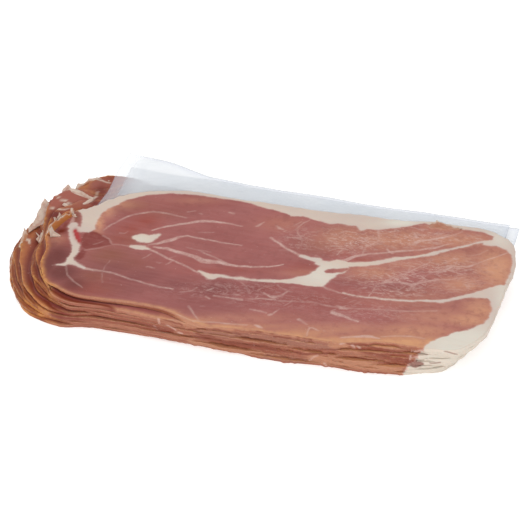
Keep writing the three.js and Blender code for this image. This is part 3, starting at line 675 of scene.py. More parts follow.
# Samples along and across a slice, for the top slice and for those under it, how much closer
# together the samples of those are near the rim, and the size of the underside's rings
TOP_SAMPLES = (424, 200)
UNDER_SAMPLES = (400, 110)
CROWDING = (0.4, 0.7)
UNDERSIDE_RINGS = (0.975, 0.8, 0.4)

# The corners of a slice, as places on the rim: front left, front right, back right, back left
CORNERS = (3, 11, 16, 22.5)

# Wander of the surfaces between slices: height and length, and share of the gap that varies,
# also where a sheet lies in it
WANDER_HEIGHT = 0.26
WANDER_LENGTH = 26
GAP_SHARE = 0.75
SHEET_GAP_SHARE = 0.25
GAP_LENGTH = 17

# Seeds of the noises, to which the slice's or the leaf's number is added
SEEDS = {
    "wander": 100, "gap": 200, "tears": 300, "slow wave": 340, "wall fibres": 380, "crumple": 410,
    "leaf fray": 500, "leaf streak": 520, "leaf grain": 540}

# Noises of the surfaces: scales to the metre along X, Y and Z, detail, roughness and turn in
# degrees, and the pitch of the film's emboss in millimetres
GRAINS = {
    "fibres": ((40, 380, 240), 4, 0.6, 6),
    "cloud": ((42, 42, 42), 3, 0.55, 0),
    "mottle": ((260, 260, 260), 3, 0.6, 0),
    "grit": ((900, 900, 900), 2, 0.6, 0),
    "flecks": ((260, 640, 300), 3, 0.65, -14),
    "threads": ((95, 300, 200), 3, 0.6, -10),
    "dots": ((480, 480, 480), 2, 0.6, 0),
    "uneven seams": ((190, 190, 190), 2, 0.6, 0),
    "bands": ((38, 38, 420), 2, 0.5, 0),
    "strata": ((70, 70, 1500), 3, 0.6, 0),
    "film": ((30, 30, 30), 2, 0.5, 0),
    "floor": ((3, 3, 3), 1, 0.5, 0),
}
EMBOSS_PITCH = 1.25

# The stage, in metres: half the floor's side, its depth under the stack, the colour of the cloud
# in it and its glow, then each light's size and place, and how near and far the camera sees
FLOOR_REACH = 3.0
FLOOR_DEPTH = 0.0001
FLOOR_CLOUD = (0.7, 0.7, 0.7)
FLOOR_GLOW = 0.5
LIGHTS = {"key": (1.8, (-0.1, -0.4, 1.5)), "front": (0.9, (0.3, -1.5, 0.6))}
CAMERA_CLIP = (0.05, 20)


def linear(red, green, blue):
    """Linear colour of an 8-bit screen colour."""
    shares = [level / 255 for level in (red, green, blue)]
    return tuple(s / 12.92 if s <= 0.04045 else ((s + 0.055) / 1.055) ** 2.4 for s in shares)


# ---------------------------------------------------------------------------------------------
# Noise, curves and distances
# ---------------------------------------------------------------------------------------------

def lattice(x, y, seed):
    """A repeatable number from 0 to 1 for each whole place, by mixing its digits with a seed."""
    mixed = (x.astype(np.int64) * 374761393 + y.astype(np.int64) * 668265263 + seed * 83492791)
    mixed &= 0x7FFFFFFF
    mixed = ((mixed ^ (mixed >> 13)) * 1274126177) & 0x7FFFFFFF
    return ((mixed ^ (mixed >> 16)) & 0xFFFFFF) / 0xFFFFFF


def noise(x, y, seed):
    """Smooth noise from -1 to 1: lattice numbers blended by an S-curve in both directions."""
    left, low = np.floor(x), np.floor(y)
    across, up = x - left, y - low
    across = across * across * (3 - 2 * across)
    up = up * up * (3 - 2 * up)
    below = lattice(left, low, seed) * (1 - across) + lattice(left + 1, low, seed) * across
    above = lattice(left, low + 1, seed) * (1 - across) + lattice(left + 1, low + 1, seed) * across
    return 2 * (below * (1 - up) + above * up) - 1


def rough(x, y, seed, length, octaves=3):
    """Noise of a given length with finer, weaker noise on it, each half as long and as high."""
    total = np.zeros(np.broadcast(x, y).shape)
    for octave in range(octaves):
        finer = 2 ** octave
        total += noise(x * finer / length, y * finer / length, seed + octave) / finer
    return total


def shaken(points, shake):
    """Points moved by noise, so that the lines laid on them waver."""
    moves = [rough(*points.T, seed, shake["length"], shake["octaves"]) for seed in shake["seeds"]]
    return points + shake["reach"] * np.column_stack(moves)


def smooth_step(value, low, high):
    """0 below low, 1 above high, and an S-curve between."""
    share = np.clip((value - low) / (high - low), 0, 1)
    return share * share * (3 - 2 * share)


def closed_spline(control, places):
    """Points and unit directions of the closed Catmull-Rom curve through the control points."""
    index = np.floor(places).astype(int)
    share = (places - index)[:, None]
    before, start, end, after = (control[(index + step) % len(control)] for step in (-1, 0, 1, 2))
    leave, arrive = (end - before) / 2, (after - start) / 2
    square = 3 * (end - start) - 2 * leave - arrive
    cube = 2 * (start - end) + leave + arrive
    points = start + share * (leave + share * (square + share * cube))
    along = leave + share * (2 * square + share * 3 * cube)
    return points, along / np.linalg.norm(along, axis=1, keepdims=True)


def path_reach(points, path):
    """Half width of a tapering path less the distance to its middle line, the most of its parts.

    Points are (n, 2) and the path (m, 3), with its half width last. It is above 0 on the path.
    """
    best = np.full(len(points), -1e9)
    for (x0, y0, r0), (x1, y1, r1) in zip(path[:-1], path[1:]):
        step = np.array([x1 - x0, y1 - y0])
        from_start = points - (x0, y0)
        share = np.clip(from_start @ step / max(step @ step, 1e-9), 0, 1)
        gap = from_start - share[:, None] * step
        reach = r0 + share * (r1 - r0) - np.sqrt((gap ** 2).sum(1))
        best = np.maximum(best, reach)
    return best


def outline_reach(points, outline):
    """Distance to a closed outline, above 0 inside it, by the even and odd rule."""
    nearest = np.full(len(points), 1e9)
    inside = np.zeros(len(points), bool)
    x, y = points.T
    for (x0, y0), (x1, y1) in zip(outline, np.roll(outline, -1, axis=0)):
        step = np.array([x1 - x0, y1 - y0])
        from_start = points - (x0, y0)
        share = np.clip(from_start @ step / max(step @ step, 1e-9), 0, 1)
        gap = from_start - share[:, None] * step
        nearest = np.minimum(nearest, (gap ** 2).sum(1))
        crosses = (y0 > y) != (y1 > y)
        inside ^= crosses & (x < x0 + (y - y0) * (x1 - x0) / (y1 - y0 + 1e-12))
    return np.sqrt(nearest) * np.where(inside, 1, -1)


# ---------------------------------------------------------------------------------------------
# Marks of the leg, laid on the top slice
# ---------------------------------------------------------------------------------------------

def on_slice(pixels, height=MARK_HEIGHT):
    """Where the lines of sight through these pixels meet the level at that height."""
    pixels = np.atleast_2d(np.asarray(pixels, float))
    half = PHOTO_SIZE / 2
    sight = ((pixels[:, :1] - half) * CAMERA_RIGHT + (half - pixels[:, 1:2]) * CAMERA_UP
             - FOCAL_PIXELS * CAMERA_BACK)
    eye = CAMERA_AIM + CAMERA_DISTANCE * CAMERA_BACK
    share = (height - eye[2]) / sight[:, 2:3]
    return (eye + share * sight)[:, :2]


def path_on_slice(pixels, height=MARK_HEIGHT):
    """A path of (x, y, thickness) in pixels as (x, y, half width) on the slice.

    A pixel upwards covers more of the slice than one across, so a line that runs across the
    picture is wider on the slice than one of the same thickness that runs up it.
    """
    pixels = np.asarray(pixels, float)
    middle = on_slice(pixels[:, :2], height)
    step = np.gradient(middle, axis=0)
    lengthways = np.abs(step[:, 0]) / (np.linalg.norm(step, axis=1) + 1e-9)
    millimetres = pixels[:, 2] * (LINE_PIXEL + LINE_PIXEL_MORE * lengthways)
    return np.column_stack([middle, millimetres / 2])


def marbling_strokes():
    """Short strokes scattered over patches of the top slice, each as (strength, path)."""
    chance = np.random.default_rng(STROKE["seed"])
    slope_middle, slope_spread = STROKE["slope"]
    strokes = []
    for x, y, half_width, half_height, count in STROKES:
        for _ in range(count):
            turn, out = chance.uniform(0, 2 * math.pi), math.sqrt(chance.uniform())
            middle = (x + half_width * out * math.cos(turn), y + half_height * out * math.sin(turn))
            half = chance.uniform(*STROKE["length"]) / 2
            slope = slope_middle + slope_spread * chance.normal()
            bend = chance.uniform(-STROKE["bend"], STROKE["bend"])
            thick = chance.uniform(*STROKE["thickness"])
            path = (
                (middle[0] - half, middle[1] - half * slope, STROKE["ends"] * thick),
                (middle[0], middle[1] + bend, thick),
                (middle[0] + half, middle[1] + half * slope, STROKE["ends"] * thick))
            strokes.append((chance.uniform(*STROKE["strength"]), path))
    return strokes


def soft_zones(points, zones, height):
    """Strength at points of soft round zones given in pixels, on the level at that height."""
    tone = np.zeros(len(points))
    to_picture = np.array([
        [math.cos(CAMERA_AZIMUTH), -math.sin(CAMERA_AZIMUTH)],
        [math.sin(CAMERA_AZIMUTH), math.cos(CAMERA_AZIMUTH)]])
    for x, y, half_width, half_height, strength in zones:
        away = (points - on_slice((x, y), height)[0]) @ to_picture
        away /= (half_width * PIXEL_ACROSS, half_height * PIXEL_UP)
        tone = np.maximum(tone, strength * np.exp(-(away ** 2).sum(1)))
    return tone


def leg_marks(points):
    """Fat, thin seams and tones at points of the top slice, as a dictionary of arrays.

    Fat is a distance in millimetres, above 0 in the fat. The others go from 0 to about 1.
    """
    places = shaken(points, LEG_SHAKE)
    fat = np.full(len(points), OUTSIDE)
    for seam in FAT_SEAMS.values():
        fat = np.maximum(fat, path_reach(places, path_on_slice(seam)))
    for outline in (FAT_RIM_INNER, FAT_BACK_EDGE, FAT_WEDGE):
        fat = np.maximum(fat, outline_reach(places, on_slice(outline)))
    fat = np.minimum(fat, -path_reach(places, path_on_slice(MEAT_ISLAND)))
    vein = np.zeros(len(points))
    for strength, seam in (*VEINS.values(), *marbling_strokes()):
        path = path_on_slice(seam)
        wide = np.maximum(path[:, 2], THINNEST_VEIN)
        thin = np.clip(path[:, 2] / THINNEST_VEIN, FAINTEST_VEIN, 1).mean()
        reach = path_reach(places, np.column_stack([path[:, :2], wide]))
        vein = np.maximum(vein, strength * thin * smooth_step(reach, *VEIN_EDGE))
    patch = np.full(len(points), OUTSIDE)
    for outline in RED_PATCHES:
        patch = np.maximum(patch, outline_reach(places, on_slice(outline)))
    marks = {"fat": fat, "vein": vein, "patch": smooth_step(patch, *PATCH_EDGE)}
    for name, zones in TONES.items():
        marks[name] = soft_zones(points, zones, MARK_HEIGHT)
    return marks


# ---------------------------------------------------------------------------------------------
# Shape of the stack
# ---------------------------------------------------------------------------------------------

def stack_levels():
    """Underside of every slice and sheet, stacked from the floor up."""
    found, height = {}, 0.0
    for number in range(1, SLICE_COUNT + 1):
        for name, above in SHEET_SLICES.items():
            if above == number:
                found[name] = height
                height += SHEET_THICKNESS + CLEARANCE
        found[f"slice_{number}"] = height
        height += SLICE_THICKNESS + CLEARANCE
    return found


LEVELS = stack_levels()


def stack_height(x):
    """Factor on every height in the stack at this place along it."""
    past_nose = np.maximum(0, NOSE_START - x)
    return 1 - NOSE_DROP * past_nose ** 2 + SWELL_HEIGHT * np.sin(2 * np.pi * x / SWELL_LENGTH)


def layer_above(number):
    """Middle and half width of the gap over a slice, without what wanders. Slice 0 is the floor."""
    if number == 0:
        return 0.0, 0.0
    top = LEVELS[f"slice_{number}"] + SLICE_THICKNESS
    if number == SLICE_COUNT:
        return top, 0.0
    under = LEVELS[f"slice_{number + 1}"]
    return (top + under) / 2, (under - top) / 2


def wander(number, x, y):
    """Height by which the surface over a slice wanders, and the same for every layer on it."""
    if number == 0:
        return np.zeros_like(x)
    return WANDER_HEIGHT * rough(x, y, SEEDS["wander"] + number, WANDER_LENGTH, 2)


def openness(number, x, y):
    """Share of its full width that the gap over a slice has, below 1 where slices cling."""
    if number not in GAP_OPEN:
        return np.ones_like(x)
    share = np.interp(x, GAP_PLACES, GAP_OPEN[number])
    at_front = smooth_step(y, FRONT_FROM["start"], FRONT_FROM["full"])
    return 1 + (share - 1) * np.maximum(at_front, smooth_step(x, *RIGHT_END_FROM))


def gap_width(number, x, y):
    """Half width of the gap over a slice, which opens and closes along it."""
    half = layer_above(number)[1] * openness(number, x, y)
    has_sheet = number + 1 in SHEET_SLICES.values()
    varies = SHEET_GAP_SHARE if has_sheet else GAP_SHARE
    return half * (1 + varies * noise(x / GAP_LENGTH, y / GAP_LENGTH, SEEDS["gap"] + number))


def flap_lift(number, x, y):
    """Rise of the torn flap past a slanting line clear of the slices above."""
    if number != FLAP_SLICE:
        return np.zeros_like(x)
    past = (y - FLAP_LINE["y"]) - FLAP_LINE["slope"] * (x - FLAP_LINE["x"])
    return np.minimum(FLAP_RISE_MOST, FLAP_RISE * np.maximum(0, past) ** 2)


def lip_lift(number, x, y):
    """Rise of the lip along the top slice's left end, less the hollow on its near side."""
    if number != SLICE_COUNT:
        return np.zeros_like(x)
    points = np.column_stack([x, y])
    line = on_slice(LIP, LIP_RISE["level"])
    away = path_reach(points, np.column_stack([line, np.zeros(len(line))]))
    ridge = LIP_RISE["height"] * np.exp(-(away / LIP_RISE["width"]) ** 2)
    from_hollow = np.linalg.norm(points - on_slice(LIP_HOLLOW["place"])[0], axis=1)
    return ridge - LIP_HOLLOW["depth"] * np.exp(-(from_hollow / LIP_HOLLOW["width"]) ** 2)


def reach_past(number, points):
    """How far the points of a slice's left end lie outside every slice above it, or 0."""
    past = np.zeros(len(points))
    if number == SLICE_COUNT:
        return past
    near = np.flatnonzero(points[:, 0] < CURL["left_of"])
    covered = np.full(len(near), -1e3)
    for upper in range(number + 1, SLICE_COUNT + 1):
        rim, _ = smooth_rim(upper, np.arange(0, RIM_COUNT, 0.125))
        covered = np.maximum(covered, outline_reach(points[near], rim))
    fade = smooth_step(points[near, 0], CURL["left_of"], CURL["left_of"] - CURL["fade"])
    past[near] = np.maximum(0, -covered) * fade
    return past


def curl_lift(past, x, y):
    """Rise of the dried end of a slice, by how far it reaches past those above it."""
    at_left = smooth_step(x, CURL["left_of"], CURL["left_of"] - CURL["grow"])
    covered = smooth_step(x, *CURL_CLEAR["x"]) * smooth_step(y, *CURL_CLEAR["y"])
    curled = smooth_step(past, CURL["start"], CURL["width"])
    return CURL["height"] * curled * at_left * (1 - covered)


def top_of(number, x, y):
    """Height of a slice's upper face."""
    height = layer_above(number)[0] + wander(number, x, y) - gap_width(number, x, y)
    return height * stack_height(x) + flap_lift(number, x, y) + lip_lift(number, x, y)


def underside_of(number, x, y):
    """Height of a slice's lower face, the gap's width over the slice or floor below."""
    below = number - 1
    height = layer_above(below)[0] + wander(below, x, y) + gap_width(below, x, y)
    lifted = flap_lift(number, x, y) + LIP_RISE["under"] * lip_lift(number, x, y)
    return height * stack_height(x) + lifted


def rim_control(number):
    """The rim points of one slice, blended from the top slice's to the bottom one's."""
    shares = np.array([FAN[zone][number - 1] for zone, _, _ in RIM_POINTS])[:, None]
    top = np.array([point for _, point, _ in RIM_POINTS], float)
    bottom = np.array([point for _, _, point in RIM_POINTS], float)
    return top + shares * (bottom - top)


def smooth_rim(number, places):
    """The rim at these places with its long waves, and the directions outwards."""
    points, along = closed_spline(rim_control(number), places)
    outwards = np.column_stack([along[:, 1], -along[:, 0]])
    turn = 2 * np.pi * places / RIM_COUNT
    wobble = sum(height * np.sin(cycles * turn + shift * number)
                 for cycles, height, shift in RIM_WAVES)
    for slice_number, at, width, depth in NOTCHES:
        if slice_number == number:
            away = (np.mod(places, RIM_COUNT) - at) / width
            wobble = wobble - depth * np.exp(-away ** 2)
    return points + outwards * wobble[:, None], outwards


def side_places(number, start, stop, shares):
    """Places on the rim between two of its points, at these shares of the length between them."""
    places = np.linspace(start, stop, 600)
    points, _ = smooth_rim(number, places)
    steps = np.linalg.norm(np.diff(points, axis=0), axis=1)
    length = np.concatenate([[0], np.cumsum(steps)])
    return np.interp(shares * length[-1], length, places)


def rim_table(values, places):
    """A value given at a few places of the rim, read at these places."""
    return np.interp(np.mod(places, RIM_COUNT), RIM_PLACES, values)


def crowded(count, crowding):
    """Shares from 0 to 1 whose steps shrink towards both ends by a sine."""
    share = np.linspace(0, 1, count)
    return share - crowding * np.sin(2 * np.pi * share) / (2 * np.pi)


def slice_plan(number, samples, crowding):
    """Plan of a slice: a grid between its four sides, and the loop of places round the grid.

    Each side is an inset stretch of the rim. A grid point is the blend of the two points across
    plus the blend of the two along, less the blend of the four corners.
    """
    along = crowded(samples[0], crowding[0])
    across = crowded(samples[1], crowding[1])
    front_left, front_right, back_right, back_left = CORNERS
    front = side_places(number, front_left, front_right, along)
    back = side_places(number, back_left, back_right, along)
    right = side_places(number, front_right, back_right, across)
    left = side_places(number, front_left + RIM_COUNT, back_left, across)

    def inset(places):
        points, outwards = smooth_rim(number, places)
        return points - FACE_INSET * outwards

    low, high, start, end = (inset(side) for side in (front, back, left, right))
    s, t = along[:, None, None], across[None, :, None]
    corners = ((1 - s) * (1 - t) * low[0] + s * (1 - t) * low[-1]
               + (1 - s) * t * high[0] + s * t * high[-1])
    grid = (1 - t) * low[:, None] + t * high[:, None] + (1 - s) * start[None] + s * end[None]
    return grid - corners, np.concatenate([front[:-1], right[:-1], back[:0:-1], left[:0:-1]])


def loop_indices(samples):
    """Indices of a grid's border, counter-clockwise, in the order of the places round it."""
    index = np.arange(samples[0] * samples[1]).reshape(samples)
    return np.concatenate([index[:-1, 0], index[-1, :-1], index[:0:-1, -1], index[0, :0:-1]])


def rim_rows(number, places):
    """Rows of the cut wall from its upper to its lower edge, as plan points and a share down.

    A row is the rim pushed out by a quarter-round, by raggedness that only reaches outwards,
    and by fibres that differ from row to row. Where slices cling, the round is smaller.
    """
    points, outwards = smooth_rim(number, places)
    for slice_number, at, width, out, back in TORN_TIPS:
        if slice_number == number:
            share = np.maximum(0, 1 - np.abs(np.mod(places, RIM_COUNT) - at) / width)
            points = points + share[:, None] ** TIP_POINT * (out * outwards + (0, back))
    ragged = rim_table(RAGGED, places)
    x, y = points.T
    rounding = {}
    for upper, gap in ((True, number), (False, number - 1)):
        free = CLINGING_ROUND + (1 - CLINGING_ROUND) * openness(gap, x, y)
        rounding[upper] = rim_table(ROUNDING, places) * free
    tears = rough(x, y, SEEDS["tears"] + number, TEARS["length"])
    tears = np.clip(tears, TEARS["least"], TEARS["most"]) * ragged
    length = SLOW_WAVE["length"]
    slow = SLOW_WAVE["height"] * noise(x / length, y / length, SEEDS["slow wave"] + number)
    rows = []
    turns = np.linspace(0.5 * math.pi, -0.5 * math.pi, WALL_ROWS)
    length = WALL_FIBRES["length"]
    for row, turn in enumerate(turns):
        fibres = WALL_FIBRES["height"] * ragged * noise(
            x / length + WALL_FIBRES["row"] * row, y / length, SEEDS["wall fibres"] + number)
        out = rounding[turn > 0] * (math.cos(turn) - 1) + tears + slow + fibres * math.cos(turn)
        rows.append(points + outwards * np.maximum(out, -DEEPEST_ROW * FACE_INSET)[:, None])
    return rows, np.sin(turns)


def rim_distance(points, rim, chunk=20000):
    """Distance from each point to the nearest rim sample, and which sample that is."""
    near, which = [], []
    for start in range(0, len(points), chunk):
        part = points[start:start + chunk]
        square = ((part[:, None, :] - rim[None]) ** 2).sum(2)
        which.append(square.argmin(1))
        near.append(np.sqrt(square.min(1)))
    return np.concatenate(near), np.concatenate(which)


# ---------------------------------------------------------------------------------------------
# Meshes
# ---------------------------------------------------------------------------------------------

def drawing_shift():
    """How far the drawing's origin lies from the frame's, read off the upper sheet's corner."""
    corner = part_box("interleaf_upper")[1]
    edges = SHEETS["interleaf_upper"]
    return np.array([corner.x / MM - edges["right"], corner.y / MM - edges["back"], 0.0])


SHIFT = drawing_shift()


def make_piece(name, vertices, faces, attributes, material, node):
    """One mesh object at the origin, in metres, that stands for a solid of the frame."""
    mesh = bpy.data.meshes.new(name)
    mesh.from_pydata(((vertices + SHIFT) * MM).tolist(), [], faces)
    for title, values in attributes.items():
        layer = mesh.attributes.new(title, "FLOAT", "POINT")
        layer.data.foreach_set("value", np.asarray(values, np.float32))
    mesh.shade_smooth()
    mesh.materials.append(material)
    piece = bpy.data.objects.new(name, mesh)
    bpy.context.scene.collection.objects.link(piece)
    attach(piece, "root")
    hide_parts(node)
    return piece


def strip_faces(upper, lower):
    """Quads of a closed band between two loops of vertex indices, facing away from its inside."""
    return np.column_stack([upper, lower, np.roll(lower, -1), np.roll(upper, -1)])


def grid_faces(samples):
    """Quads of a grid, seen counter-clockwise from above."""
    index = np.arange(samples[0] * samples[1]).reshape(samples)
    return np.column_stack([
        index[:-1, :-1].ravel(), index[1:, :-1].ravel(), index[1:, 1:].ravel(),
        index[:-1, 1:].ravel()])


def fan_marks(marks, plan, past, height):
    """Marks of a lower slice, with those of its fanned left end in place of the leg's there."""
    fan = smooth_step(past, *FAN_FROM)
    marks["fat"] = marks["fat"] - FAN_FAT_CUT * fan
    places = shaken(plan, FAN_SHAKE)
    fringe = np.full(len(plan), OUTSIDE)
    for line in FAN_FAT.values():
        fringe = np.maximum(fringe, path_reach(places, path_on_slice(line, height)))
    marks["fringe"] = fan * smooth_step(fringe, *FRINGE_EDGE)
    for name in ("vein", "patch", *TONES):
        marks[name] = marks[name] * (1 - fan)
    for name, zones in FAN_TONES.items():
        marks[name] = fan * soft_zones(plan, zones, height)
    marks["fan"] = fan
    # Painted shade on a lower slice, strongest right beside the rim of the slice above it
    marks["tuck"] = fan * np.exp(-(past / TUCK_SHADE_WIDTH) ** 2)
    return marks


def slice_mesh(number, samples):
    """Vertices, faces and marks of one slice.

    The upper face is the plan's grid, the wall a set of rows round it, and the underside a few
    rings that shrink towards its middle.
    """
    crowding = CROWDING if number < SLICE_COUNT else (0, 0)
    grid, places = slice_plan(number, samples, crowding)
    leg_grid, leg_places = slice_plan(SLICE_COUNT, samples, crowding)
    rows, downs = rim_rows(number, places)
    leg_rim, leg_outwards = smooth_rim(SLICE_COUNT, leg_places)
    leg_loop = leg_rim - FACE_INSET * leg_outwards

    plan = [grid.reshape(-1, 2)]
    leg = [leg_grid.reshape(-1, 2)]
    heights = [top_of(number, *plan[0].T)]
    for row, down in zip(rows, downs):
        top, under = top_of(number, *row.T), underside_of(number, *row.T)
        plan.append(row)
        leg.append(leg_loop)
        heights.append((top + under) / 2 + (top - under) / 2 * down)
    middle = rows[-1].mean(0)
    for share in UNDERSIDE_RINGS:
        ring = middle + share * (rows[-1] - middle)
        plan.append(ring)
        leg.append(leg_loop.mean(0) + share * (leg_loop - leg_loop.mean(0)))
        heights.append(underside_of(number, *ring.T))
    plan.append(middle[None])
    leg.append(leg_loop.mean(0)[None])
    heights.append(underside_of(number, *middle[None].T))
    plan, leg, heights = (np.concatenate(part) for part in (plan, leg, heights))
    past = reach_past(number, plan)
    on_floor = LEVELS[f"slice_{number}"] == 0
    stands = smooth_step(heights, 0, SLICE_THICKNESS) if on_floor else 1
    heights = np.maximum(heights, 0) + curl_lift(past, *plan.T) * stands

    count = len(places)
    first = samples[0] * samples[1]
    loops = [loop_indices(samples)]
    for row in range(WALL_ROWS + len(UNDERSIDE_RINGS)):
        loops.append(first + row * count + np.arange(count))
    quads = [grid_faces(samples)]
    quads += [strip_faces(upper, lower) for upper, lower in zip(loops[:-1], loops[1:])]
    last = loops[-1]
    tip = np.full(count, first + (WALL_ROWS + len(UNDERSIDE_RINGS)) * count)
    faces = np.concatenate(quads).tolist()
    faces += np.column_stack([last, tip, np.roll(last, -1)]).tolist()

    marks = leg_marks(leg)
    if number < SLICE_COUNT:
        marks = fan_marks(marks, plan, past, LEVELS[f"slice_{number}"] + SLICE_THICKNESS)
    rim = rows[WALL_ROWS // 2]
    distance, nearest = rim_distance(plan, rim[::RIM_STRIDE])
    band = rim_table(DRY_BAND, places[::RIM_STRIDE][nearest])
    wall, down = np.zeros((2, len(plan)))
    wall[first:first + WALL_ROWS * count] = 1
    down[first:first + WALL_ROWS * count] = np.repeat((1 - downs) / 2, count)
    marks["rim"] = distance
    marks["dry"] = np.exp(-(distance / band) ** 2)
    marks["wall"], marks["down"] = wall, down
    marks["vein"] = marks["vein"] * (1 - wall)
    for name in ("flesh", "fringe", "fan", "tuck"):
        marks.setdefault(name, np.zeros(len(plan)))
    marks["gold"] = smooth_step(plan[:, 0], *GOLD_FROM)
    vertices = np.column_stack([plan, heights])
    marks |= side_marks(vertices, (wall > 0) & (plan[:, 1] < SIDE_MARKS_BEFORE))
    shape = vertices, faces, marks
    for seed, leaf in enumerate(LEAVES.values()):
        if leaf[0] == number:
            shape = add_leaf(shape, number, leaf, seed)
    return shape


def in_picture(points):
    """Pixels of the photograph at which points of the stack are seen."""
    away = points - (CAMERA_AIM + CAMERA_DISTANCE * CAMERA_BACK)
    share = FOCAL_PIXELS / -(away @ CAMERA_BACK)
    half = PHOTO_SIZE / 2
    return np.column_stack([
        half + away @ CAMERA_RIGHT * share, half - away @ CAMERA_UP * share])


def side_marks(vertices, on_side):
    """Marks of the cut side along the front, laid on it through the camera."""
    found = {name: np.zeros(len(vertices)) for name in SIDE_MARKS}
    near = np.flatnonzero(on_side)
    seen = shaken(in_picture(vertices[near]), SIDE_SHAKE)
    for name, paths in SIDE_MARKS.items():
        reach = np.full(len(near), OUTSIDE)
        for path in paths:
            path = np.array(path, float)
            path[:, 2] /= 2
            reach = np.maximum(reach, path_reach(seen, path))
        soft = SOFT_BAND if name in SIDE_BANDS else SOFT_LINE
        found[name][near] = smooth_step(reach, -soft, soft)
    return found


def leaf_on_slice(number, pixels):
    """Points over a slice seen at these pixels, as (x, y, z), from (x, y, rise over the slice)."""
    level = np.full(len(pixels), LEVELS[f"slice_{number}"] + SLICE_THICKNESS)
    for _ in range(LEAF_ROUNDS):
        place = np.concatenate([
            on_slice(pixel[None, :2], height) for pixel, height in zip(pixels, level)])
        level = top_of(number, *place.T) + pixels[:, 2]
    return np.column_stack([place, level])


def add_leaf(shape, number, leaf, seed):
    """Adds one torn leaf to a slice's vertices, faces and marks.

    The leaf is ruled between its two edges and closed round its border. Both faces are its
    middle surface moved half its thickness along the line of sight, and its free edge is frayed.
    """
    vertices, faces, marks = shape
    _, amber, pale, fat_share, low, high = leaf
    columns, rows = LEAF_SAMPLES
    along, across = np.linspace(0, 1, columns), np.linspace(0, 1, rows)

    def resampled(line):
        line = np.array(line, float)
        share = np.linspace(0, 1, len(line))
        return np.column_stack([np.interp(along, share, column) for column in line.T])

    low, high = resampled(low), resampled(high)
    fray = rough(along * LEAF_FRAY["samples"], np.zeros(columns), SEEDS["leaf fray"] + seed,
                 LEAF_FRAY["length"])
    reach = (high - low)[:, :2]
    reach /= np.linalg.norm(reach, axis=1, keepdims=True)
    high[:, :2] += LEAF_FRAY["reach"] * reach * fray[:, None]
    low, high = leaf_on_slice(number, low), leaf_on_slice(number, high)
    share = across[None, :, None]
    middle = (low[:, None] * (1 - share) + high[:, None] * share).reshape(-1, 3)
    across = np.tile(across, columns)
    middle += LEAF_BULGE * np.sin(np.pi * across)[:, None] * CAMERA_BACK
    shift = LEAF_THICKNESS / 2 * (1 - LEAF_THINNING * across)[:, None] * CAMERA_BACK
    first, count = len(vertices), len(middle)
    front = grid_faces(LEAF_SAMPLES)
    loop = loop_indices(LEAF_SAMPLES)
    normal = np.cross(middle[rows] - middle[0], middle[1] - middle[0])
    if normal @ CAMERA_BACK < 0:
        shift = -shift
    joined = np.concatenate([front, front[:, ::-1] + count, strip_faces(loop, loop + count)])
    along = np.repeat(along, rows)
    streak = rough(along * LEAF_STREAK["samples"], np.zeros(count), SEEDS["leaf streak"] + seed,
                   LEAF_STREAK["length"])
    fat = smooth_step(across + LEAF_STREAK["reach"] * streak,
                      1 - fat_share - LEAF_FAT_EDGE, 1 - fat_share + LEAF_FAT_EDGE)
    grain = rough(across * LEAF_GRAIN["across"], along * LEAF_GRAIN["along"],
                  SEEDS["leaf grain"] + seed, LEAF_GRAIN["length"])
    pale = pale * (1 + LEAF_GRAIN["reach"] * grain)
    values = dict.fromkeys(marks, 0.0)
    values |= {"fat": OUTSIDE, "rim": -OUTSIDE, "fan": 1.0, "gold": 1.0, "amber": amber,
               "flesh": 1 - amber, "fringe": np.clip(np.maximum(pale, fat), 0, 1)}
    for name in marks:
        face = np.broadcast_to(values[name], count)
        marks[name] = np.concatenate([marks[name], face, face])
    vertices = np.concatenate([vertices, middle + shift, middle - shift])
    return vertices, faces + (joined + first).tolist(), marks


def sheet_lift(name, x, y):
    """Rise of a sheet: its curled corner, the ripple of its free edge and its right end."""
    edges = SHEETS[name]
    past = np.maximum(0, y - CURL_LINE["y"] - CURL_LINE["slope"] * (x - CURL_LINE["x"]))
    free = np.maximum(0, y - FREE_FROM) / (edges["back"] - FREE_FROM)
    wave = SHEET_RIPPLE["height"] * (1 + np.sin(2 * np.pi * x / SHEET_RIPPLE["length"]))
    rise = RIGHT_RISE["height"] * (np.maximum(0, x - RIGHT_RISE["from"]) / RIGHT_RISE["reach"]) ** 2
    bend = smooth_step(past, CURL_LINE["from"], CURL_LINE["to"])
    curled = CURL_LINE["bend"] * bend + (1 - CURL_LINE["bend"]) * past / CURL_LINE["reach"]
    return edges["curl"] * curled + free * (wave + rise)


